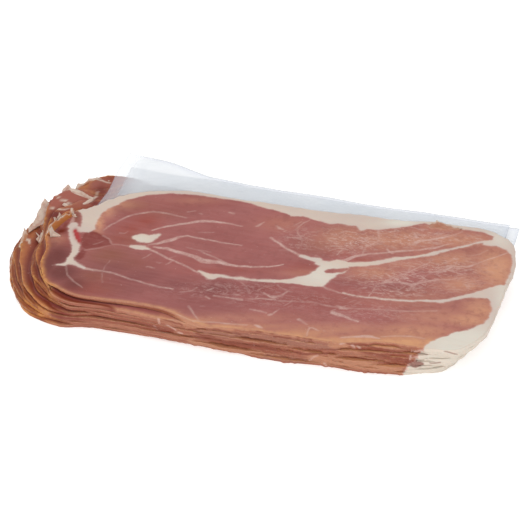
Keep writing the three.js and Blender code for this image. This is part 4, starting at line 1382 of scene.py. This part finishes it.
def sheet_mesh(name):
    """Vertices, faces and marks of one sheet: two grids of film joined round their border."""
    edges = SHEETS[name]
    along = np.linspace(0, 1, SHEET_COLUMNS)
    y = np.concatenate([
        np.linspace(edges["front"], SHEET_SHOWN_FROM, SHEET_HIDDEN_ROWS, endpoint=False),
        np.linspace(SHEET_SHOWN_FROM, edges["back"], SHEET_SHOWN_ROWS)])
    along, grid_y = (part.ravel() for part in np.meshgrid(along, y, indexing="ij"))
    start = edges["left"] - edges["slant"] * (edges["back"] - np.maximum(grid_y, SLANT_FROM))
    grid_x = start + (edges["right"] - start) * along
    below = SHEET_SLICES[name] - 1
    middle = layer_above(below)[0] + wander(below, grid_x, grid_y)
    crumple = CRUMPLE["height"] * rough(
        grid_x, grid_y, SEEDS["crumple"] + below, CRUMPLE["length"])
    crumple *= smooth_step(grid_y, CRUMPLE["from"], CRUMPLE["to"])
    height = middle * stack_height(grid_x) + sheet_lift(name, grid_x, grid_y) + crumple
    half = SHEET_THICKNESS / 2
    vertices = np.concatenate([
        np.column_stack([grid_x, grid_y, height + half]),
        np.column_stack([grid_x, grid_y, height - half])])
    samples = (SHEET_COLUMNS, len(y))
    upper = grid_faces(samples)
    loop = loop_indices(samples)
    count = len(grid_x)
    faces = np.concatenate([upper, upper[:, ::-1] + count, strip_faces(loop, loop + count)])
    edge = np.minimum.reduce([
        edges["back"] - grid_y, grid_x - start, edges["right"] - grid_x])
    return vertices, faces.tolist(), {
        "edge": np.tile(edge, 2), "from_left": np.tile(grid_x - start, 2)}


# ---------------------------------------------------------------------------------------------
# Materials
# ---------------------------------------------------------------------------------------------

class Shading:
    """Adds nodes to one material and wires them. Its mixes take a share over 1 as 1."""

    def __init__(self, name):
        self.material = bpy.data.materials.new(name)
        self.material.use_nodes = True
        self.tree = self.material.node_tree
        self.tree.nodes.clear()
        self.place = self.node("ShaderNodeTexCoord").outputs["Object"]

    def node(self, kind, inputs=None, **settings):
        """A node with these settings, and values or links at its inputs."""
        made = self.tree.nodes.new(kind)
        for key, value in settings.items():
            setattr(made, key, value)
        for key, value in (inputs or {}).items():
            self.feed(made.inputs[key], value)
        return made

    def feed(self, socket, value):
        """Links an output to a socket, or gives the socket a value."""
        if isinstance(value, bpy.types.NodeSocket):
            self.tree.links.new(value, socket)
        elif socket.type == "RGBA":
            socket.default_value = (*value, 1)
        else:
            socket.default_value = value

    def mark(self, name):
        """One of the marks that the meshes carry."""
        return self.node("ShaderNodeAttribute", attribute_name=name).outputs["Fac"]

    def math(self, operation, first, second=0.0, third=0.0):
        """The result of one operation."""
        made = self.node("ShaderNodeMath", {0: first, 1: second, 2: third}, operation=operation)
        return made.outputs[0]

    def times(self, first, second):
        """The product of two values."""
        return self.math("MULTIPLY", first, second)

    def step(self, value, low, high, start=0.0, end=1.0):
        """An S-curve from start at low to end at high."""
        made = self.node(
            "ShaderNodeMapRange", {0: value, 1: low, 2: high, 3: start, 4: end},
            interpolation_type="SMOOTHSTEP")
        return made.outputs[0]

    def mix(self, share, first, second):
        """The first colour with this share of the second over it."""
        made = self.node("ShaderNodeMix", {0: share, 6: first, 7: second}, data_type="RGBA")
        return made.outputs[2]

    def grain(self, name):
        """One of the noises of GRAINS, from 0 to 1."""
        scales, detail, roughness, turn = GRAINS[name]
        place = self.node(
            "ShaderNodeMapping",
            {"Vector": self.place, "Scale": scales, "Rotation": (0.0, 0.0, math.radians(turn))})
        made = self.node(
            "ShaderNodeTexNoise",
            {"Vector": place.outputs[0], "Scale": 1.0, "Detail": detail, "Roughness": roughness})
        return made.outputs["Fac"]

    def shader(self, inputs, bump=None, bump_strength=0.3, bump_distance=0.0003):
        """The finished material, with its relief if there is one."""
        made = self.node("ShaderNodeBsdfPrincipled", inputs)
        if bump is not None:
            relief = self.node(
                "ShaderNodeBump",
                {"Height": bump, "Strength": bump_strength, "Distance": bump_distance})
            self.feed(made.inputs["Normal"], relief.outputs[0])
        output = self.node("ShaderNodeOutputMaterial")
        self.tree.links.new(made.outputs[0], output.inputs[0])
        return self.material


def ham_material(settings):
    """Cured meat with its fat: tones, fibres along the slice, seams, marbling and dried rim.

    Colours are laid over one another from the plain meat up, each with the share of a mark that
    the mesh carries, mostly times an S-curve of a noise.
    """
    make = Shading("cured ham")
    fibres, cloud, mottle, grit = (
        make.grain(name) for name in ("fibres", "cloud", "mottle", "grit"))

    meat = make.mix(make.step(cloud, 0.3, 0.7), settings.meat, settings.meat_light)
    patchy = make.step(mottle, 0.2, 0.8, 0.7, 1.0)
    for tone, colour in (
            ("dusk", settings.meat_dusk), ("brown", settings.meat_brown),
            ("red", settings.meat_red), ("warm", settings.meat_warm),
            ("patch", settings.meat_patch)):
        meat = make.mix(make.times(make.mark(tone), patchy), meat, colour)
    streaks = make.step(fibres, 0.35, 0.75, 0.0, 0.16)
    meat = make.mix(streaks, meat, settings.meat_fibre)
    # Painted shade in the small hollows of the relief, where the mottle is low
    hollows = make.step(mottle, 0.3, 0.5, 0.2, 0.0)
    meat = make.mix(hollows, meat, settings.meat_hollow_shade)
    deep = make.math("MINIMUM", make.mark("deep"), 0.85)
    meat = make.mix(deep, meat, settings.meat_deep)
    strips = make.mix(make.step(mottle, 0.3, 0.7), settings.strip, settings.strip_red)
    meat = make.mix(make.mark("fan"), meat, strips)

    flecks = make.step(make.grain("flecks"), 0.5, 0.66, 0.0, 0.62)
    threads = make.math("ABSOLUTE", make.math("SUBTRACT", make.grain("threads"), 0.5))
    threads = make.times(make.step(threads, 0.02, 0.0, 0.0, 0.85), make.step(grit, 0.3, 0.5))
    marbling = make.times(make.math("MAXIMUM", flecks, threads), make.mark("marbled"))
    dots = make.step(make.grain("dots"), 0.68, 0.8, 0.0, 0.3)

    shaken_fat = make.mark("fat")
    for noise_value, reach in ((mottle, 1.2), (grit, 0.7), (fibres, 1.6)):
        swing = make.math("SUBTRACT", noise_value, 0.5)
        shaken_fat = make.math("MULTIPLY_ADD", swing, reach, shaken_fat)
    fat = make.step(shaken_fat, -0.5, 0.6, 0.0, 0.97)
    halo = make.step(shaken_fat, -1.3, 0.4, 0.0, 0.45)
    uneven = make.step(make.grain("uneven seams"), 0.3, 0.7, 0.55, 1.15)
    vein = make.times(make.mark("vein"), make.step(grit, 0.25, 0.7, 0.6, 1.0))
    vein = make.times(make.times(vein, uneven), 0.78)
    seams = make.math("MAXIMUM", make.math("MAXIMUM", vein, dots), marbling)
    seams = make.math("MAXIMUM", seams, halo)
    fringe = make.times(make.mark("fringe"), make.step(mottle, 0.25, 0.6, 0.5, 1.0))

    fat_colour = make.mix(make.step(cloud, 0.3, 0.75), settings.fat, settings.fat_cream)
    fat_colour = make.mix(make.mark("pale"), fat_colour, settings.fat_white)
    # Painted shade: duller streaks for the creases in the fat, and duller fat on the cut wall
    creases = make.step(fibres, 0.5, 0.72, 0.0, 0.22)
    fat_colour = make.mix(creases, fat_colour, settings.fat_shade)
    fat_colour = make.mix(make.times(make.mark("wall"), 0.45), fat_colour, settings.fat_shade)
    # Painted shade in the gaps between the slices, over the fat of the cut side
    fat_colour = make.mix(make.times(make.mark("side_gap"), 0.8), fat_colour, settings.side_dark)

    golden = make.mix(make.step(mottle, 0.35, 0.65), settings.amber, settings.amber_light)
    dried = make.mix(make.step(make.mark("rim"), 1.0, 4.0), settings.dried, settings.dried_dark)
    dried = make.mix(make.mark("fan"), dried, settings.dried_fan)
    dried = make.mix(make.mark("gold"), dried, golden)
    dry = make.times(make.mark("dry"), make.step(mottle, 0.25, 0.7, 0.7, 1.1))
    meat = make.mix(dry, meat, dried)
    tan = make.times(make.mark("tan"), make.step(mottle, 0.25, 0.65, 0.6, 1.0))
    meat = make.mix(tan, meat, settings.dried)

    strata = make.grain("strata")
    side = make.mix(make.step(make.grain("bands"), 0.35, 0.65), settings.side, settings.side_red)
    side = make.mix(make.step(strata, 0.42, 0.62, 0.0, 0.5), side, settings.side_dark)
    layered = make.step(strata, 0.3, 0.6, 1.0, 0.6)
    band_colours = (settings.side_deep, settings.side_mauve, settings.side_tan)
    for band, colour in zip(SIDE_BANDS, band_colours):
        side = make.mix(make.times(make.mark(band), layered), side, colour)
    # Painted highlight along the upper edge of each slice's cut wall, which is also dried there
    lit = make.times(make.step(make.mark("down"), 0.35, 0.05), make.step(grit, 0.3, 0.6, 0.2, 0.6))
    side = make.mix(lit, side, settings.side_dry_highlight)
    side = make.mix(make.times(make.mark("side_pale"), 0.6), side, settings.vein)
    # Painted shade in the gaps between the slices, on the cut side
    side = make.mix(make.times(make.mark("side_gap"), 0.9), side, settings.gap_shade)
    side = make.mix(make.mark("gold"), side, golden)
    wall = make.times(make.mark("wall"), make.step(make.mark("gold"), 0.0, 1.0, 0.88, 0.6))
    meat = make.mix(wall, meat, side)

    # Flap meat and amber are the meat's own colours; the last two are painted shade beside the rims
    # of upper slices and in holes and hollows
    for mark, colour in (
            ("flesh", settings.flesh), ("amber", settings.amber), ("tuck", settings.gap_shade),
            ("dark", settings.gap_shade)):
        meat = make.mix(make.mark(mark), meat, colour)
    colour = make.mix(seams, meat, settings.vein)
    colour = make.mix(fringe, colour, settings.fringe)
    colour = make.mix(fat, colour, fat_colour)
    colour = make.mix(make.mark("blood"), colour, settings.blood)

    relief = make.math("MULTIPLY_ADD", fibres, 0.7, mottle)
    layers = make.times(strata, make.mark("wall"))
    relief = make.math("MULTIPLY_ADD", layers, 1.5, relief)
    return make.shader(
        {"Base Color": colour, "Roughness": make.step(cloud, 0.3, 0.7, 0.36, 0.48),
         "Specular IOR Level": 0.3, "Subsurface Weight": 0.1,
         "Subsurface Radius": (1.0, 0.45, 0.35), "Subsurface Scale": 0.0015},
        bump=relief, bump_strength=0.35, bump_distance=0.00025)


def film_material(settings):
    """Bluish-white interleaf film with a fine square emboss and a duller free edge."""
    make = Shading("interleaf film")
    parts = make.node("ShaderNodeSeparateXYZ", {0: make.place})
    turns = 2 * math.pi / (EMBOSS_PITCH * MM)
    ridges = [make.math("SINE", make.times(parts.outputs[axis], turns)) for axis in ("X", "Y")]
    cloudy = make.step(make.grain("film"), 0.3, 0.7)
    colour = make.mix(cloudy, settings.film, settings.film_shade)
    edge = make.step(make.mark("edge"), 0.4, 3.0, 0.6, 0.0)
    colour = make.mix(edge, colour, settings.film_edge)
    thin = make.step(make.mark("from_left"), 1.0, 16.0, 0.5, 1.0)
    return make.shader(
        {"Base Color": colour, "Roughness": 0.4, "Specular IOR Level": 0.35,
         "Alpha": make.times(settings.film_alpha, thin)},
        bump=make.times(*ridges), bump_strength=0.25, bump_distance=0.00012)


def floor_material(settings):
    """Plain pale, matt surface with a faint cloud in it."""
    make = Shading("pale surface")
    cloudy = make.step(make.grain("floor"), 0.3, 0.7, 0.0, 0.15)
    return make.shader({
        "Base Color": make.mix(cloudy, settings.floor, FLOOR_CLOUD),
        "Roughness": 0.9, "Specular IOR Level": 0.1,
        "Emission Color": (1.0, 1.0, 1.0), "Emission Strength": FLOOR_GLOW})


# ---------------------------------------------------------------------------------------------
# What a user would change
# ---------------------------------------------------------------------------------------------

def colour_property(name, description, default):
    """A colour that a user can change."""
    return bpy.props.FloatVectorProperty(
        name=name, description=description, default=default, subtype="COLOR", size=3,
        min=0.0, max=1.0)


class HamColours(bpy.types.PropertyGroup):
    """Colours of the meat, the fat and the film."""

    meat: colour_property("Meat", "Plain cured meat", linear(148, 82, 78))
    meat_light: colour_property("Light meat", "Cloudy lighter meat", linear(160, 93, 89))
    meat_fibre: colour_property("Fibres", "Pale fibres along the slice", linear(182, 122, 115))
    # Painted shade of the small hollows
    meat_hollow_shade: colour_property("Dark meat", "Small darker hollows", linear(120, 58, 52))
    meat_dusk: colour_property("Dusky meat", "Mauve, drier muscle", linear(120, 60, 60))
    meat_deep: colour_property("Deepest meat", "Darkest muscle of the nose", linear(104, 44, 38))
    meat_brown: colour_property("Brown meat", "Olive-brown muscle", linear(136, 76, 58))
    meat_red: colour_property("Red meat", "Red-brown zones", linear(148, 66, 54))
    meat_patch: colour_property("Dark red patch", "Patches by the nose seam", linear(122, 42, 34))
    meat_warm: colour_property("Warm meat", "Tan meat near the fat", linear(200, 142, 110))
    blood: colour_property("Red spot", "Spot beside the nose seam", linear(166, 48, 48))
    strip: colour_property("Fanned meat", "Dried meat of the fanned end", linear(152, 78, 52))
    strip_red: colour_property("Red fanned meat", "Redder meat there", linear(134, 60, 42))
    flesh: colour_property("Flap meat", "Pinkish meat of the torn flaps", linear(156, 88, 74))
    amber: colour_property("Amber", "Dried amber meat", linear(182, 112, 58))
    amber_light: colour_property("Light amber", "Lighter stretches of it", linear(200, 140, 76))
    # Painted shade: the dark colour laid beside the rims of upper slices, in holes and hollows, and
    # in the gaps of the cut side
    gap_shade: colour_property("Moist meat", "Dark meat between the slices", linear(112, 38, 26))
    vein: colour_property("Seams", "Pinkish fat of the thin seams", linear(208, 176, 166))
    fat: colour_property("Fat", "Pale fat of the seams", linear(200, 182, 172))
    fat_cream: colour_property("Creamy fat", "Yellower fat of the rim", linear(208, 190, 174))
    fat_white: colour_property("White fat", "Firm white fat of the corner", linear(216, 209, 196))
    fat_shade: colour_property("Fat creases", "Duller streaks in the fat", linear(200, 184, 168))
    dried: colour_property("Dried rim", "Amber line along the rim", linear(205, 148, 108))
    dried_fan: colour_property("Lower dried rims", "Dried rims lower down", linear(174, 104, 76))
    dried_dark: colour_property("Dark dried rim", "Browner dried band", linear(186, 124, 94))
    side: colour_property("Cut side", "Cut edge of the slices", linear(164, 106, 84))
    side_red: colour_property("Red cut side", "Redder stretches of it", linear(146, 80, 62))
    side_dark: colour_property("Dark cut side", "Thin dark layers in it", linear(118, 54, 40))
    side_deep: colour_property("Deep red cut side", "Moist red stretches", linear(122, 44, 30))
    side_mauve: colour_property("Mauve cut side", "Moister stretches", linear(138, 88, 76))
    side_tan: colour_property("Tan cut side", "Drier, paler stretches", linear(180, 126, 98))
    # Painted highlight on the dried upper edge of each slice's cut side
    side_dry_highlight: colour_property(
        "Light cut side", "Dry upper edge of each slice", linear(186, 134, 108))
    fringe: colour_property("Fringes", "Fat fringes of the fanned end", linear(204, 182, 166))
    film: colour_property("Film", "Interleaf film", linear(229, 232, 236))
    film_shade: colour_property("Shaded film", "Duller film", linear(220, 225, 231))
    film_edge: colour_property("Film edge", "Free edge of the film", linear(208, 214, 226))
    floor: colour_property("Floor", "Pale surface under the stack", linear(222, 222, 222))
    film_alpha: bpy.props.FloatProperty(
        name="Film opacity", description="How opaque one face of the film is", default=0.46,
        min=0.0, max=1.0, subtype="FACTOR")


class HamLight(bpy.types.PropertyGroup):
    """Strengths of the studio light."""

    world: bpy.props.FloatProperty(
        name="World", description="Strength of the even light all round", default=0.7, min=0.0)
    key: bpy.props.FloatProperty(
        name="Key", description="Large soft light above the left", default=10.0, min=0.0,
        unit="POWER")
    front: bpy.props.FloatProperty(
        name="Front", description="Soft light from the camera's side", default=6.0, min=0.0,
        unit="POWER")


# ---------------------------------------------------------------------------------------------
# Operators
# ---------------------------------------------------------------------------------------------

def shared_material(name, maker, settings):
    """The material of that name, made the first time it is asked for."""
    return bpy.data.materials.get(name) or maker(settings)


def add_slice(number, samples):
    """Builds one slice from the bottom up, with these samples along and across it."""
    colours = bpy.context.scene.ham_colours
    vertices, faces, marks = slice_mesh(number, samples)
    material = shared_material("cured ham", ham_material, colours)
    return make_piece(f"ham_slice_{number}", vertices, faces, marks, material,
                      f"slice_{number}")


class HAM_OT_lower_slices(bpy.types.Operator):
    """Builds the eight slices under the top one"""

    bl_idname = "ham.lower_slices"
    bl_label = "Lower slices"

    def execute(self, context):
        for number in range(1, SLICE_COUNT):
            add_slice(number, UNDER_SAMPLES)
        return {"FINISHED"}


class HAM_OT_top_slice(bpy.types.Operator):
    """Builds the top slice with its finely marked face"""

    bl_idname = "ham.top_slice"
    bl_label = "Top slice"

    def execute(self, context):
        add_slice(SLICE_COUNT, TOP_SAMPLES)
        return {"FINISHED"}


class HAM_OT_sheets(bpy.types.Operator):
    """Builds the two interleaf sheets"""

    bl_idname = "ham.sheets"
    bl_label = "Interleaf sheets"

    def execute(self, context):
        material = shared_material("interleaf film", film_material, context.scene.ham_colours)
        for name in SHEETS:
            vertices, faces, marks = sheet_mesh(name)
            make_piece(f"film_{name}", vertices, faces, marks, material, name)
        return {"FINISHED"}


def soft_light(name, power, size, place):
    """A square area light at a place in metres, turned towards the stack."""
    data = bpy.data.lights.new(name, "AREA")
    data.energy = power
    data.size = size
    lamp = bpy.data.objects.new(name, data)
    lamp.location = place
    lamp.rotation_euler = (-Vector(place)).to_track_quat("-Z", "Y").to_euler()
    bpy.context.scene.collection.objects.link(lamp)


class HAM_OT_stage(bpy.types.Operator):
    """Builds the pale floor, the soft lights and the camera"""

    bl_idname = "ham.stage"
    bl_label = "Stage"

    def execute(self, context):
        scene = context.scene
        light = scene.ham_light
        mesh = bpy.data.meshes.new("floor")
        corners = [(x * FLOOR_REACH, y * FLOOR_REACH, -FLOOR_DEPTH)
                   for x, y in ((-1, -1), (1, -1), (1, 1), (-1, 1))]
        mesh.from_pydata(corners, [], [(0, 1, 2, 3)])
        mesh.materials.append(floor_material(scene.ham_colours))
        floor = bpy.data.objects.new("floor", mesh)
        scene.collection.objects.link(floor)

        world = bpy.data.worlds.new("studio")
        world.use_nodes = True
        backdrop = world.node_tree.nodes["Background"]
        backdrop.inputs["Color"].default_value = (1, 1, 1, 1)
        backdrop.inputs["Strength"].default_value = light.world
        scene.world = world
        soft_light("key", light.key, *LIGHTS["key"])
        soft_light("front", light.front, *LIGHTS["front"])

        data = bpy.data.cameras.new("camera")
        data.sensor_width = SENSOR_WIDTH
        data.lens = FOCAL_PIXELS / PHOTO_SIZE * SENSOR_WIDTH
        data.clip_start, data.clip_end = CAMERA_CLIP
        camera = bpy.data.objects.new("camera", data)
        back = Vector(CAMERA_BACK)
        camera.location = (Vector(CAMERA_AIM + SHIFT) + CAMERA_DISTANCE * back) * MM
        camera.rotation_euler = (-back).to_track_quat("-Z", "Y").to_euler()
        scene.collection.objects.link(camera)
        scene.camera = camera
        scene.view_settings.view_transform = "Standard"
        return {"FINISHED"}


class HAM_PT_stack(bpy.types.Panel):
    """Lists the steps that build the stack, with its colours and light"""

    bl_idname = "HAM_PT_stack"
    bl_label = "Sliced ham"
    bl_space_type = "VIEW_3D"
    bl_region_type = "UI"
    bl_category = "Ham"

    def draw(self, context):
        for operator in OPERATORS:
            self.layout.operator(operator.bl_idname)
        for group in (context.scene.ham_colours, context.scene.ham_light):
            for name in group.__annotations__:
                self.layout.prop(group, name)


OPERATORS = (HAM_OT_stage, HAM_OT_lower_slices, HAM_OT_sheets, HAM_OT_top_slice)
CLASSES = (HamColours, HamLight, *OPERATORS, HAM_PT_stack)


def register():
    """Adds the classes and the scene's settings."""
    for item in CLASSES:
        bpy.utils.register_class(item)
    bpy.types.Scene.ham_colours = bpy.props.PointerProperty(type=HamColours)
    bpy.types.Scene.ham_light = bpy.props.PointerProperty(type=HamLight)


def unregister():
    """Takes the settings and the classes away again."""
    del bpy.types.Scene.ham_light
    del bpy.types.Scene.ham_colours
    for item in reversed(CLASSES):
        bpy.utils.unregister_class(item)


def main():
    """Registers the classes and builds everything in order."""
    register()
    bpy.ops.ham.stage()
    bpy.ops.ham.lower_slices()
    bpy.ops.ham.sheets()
    bpy.ops.ham.top_slice()


if __name__ == "__main__":
    main()
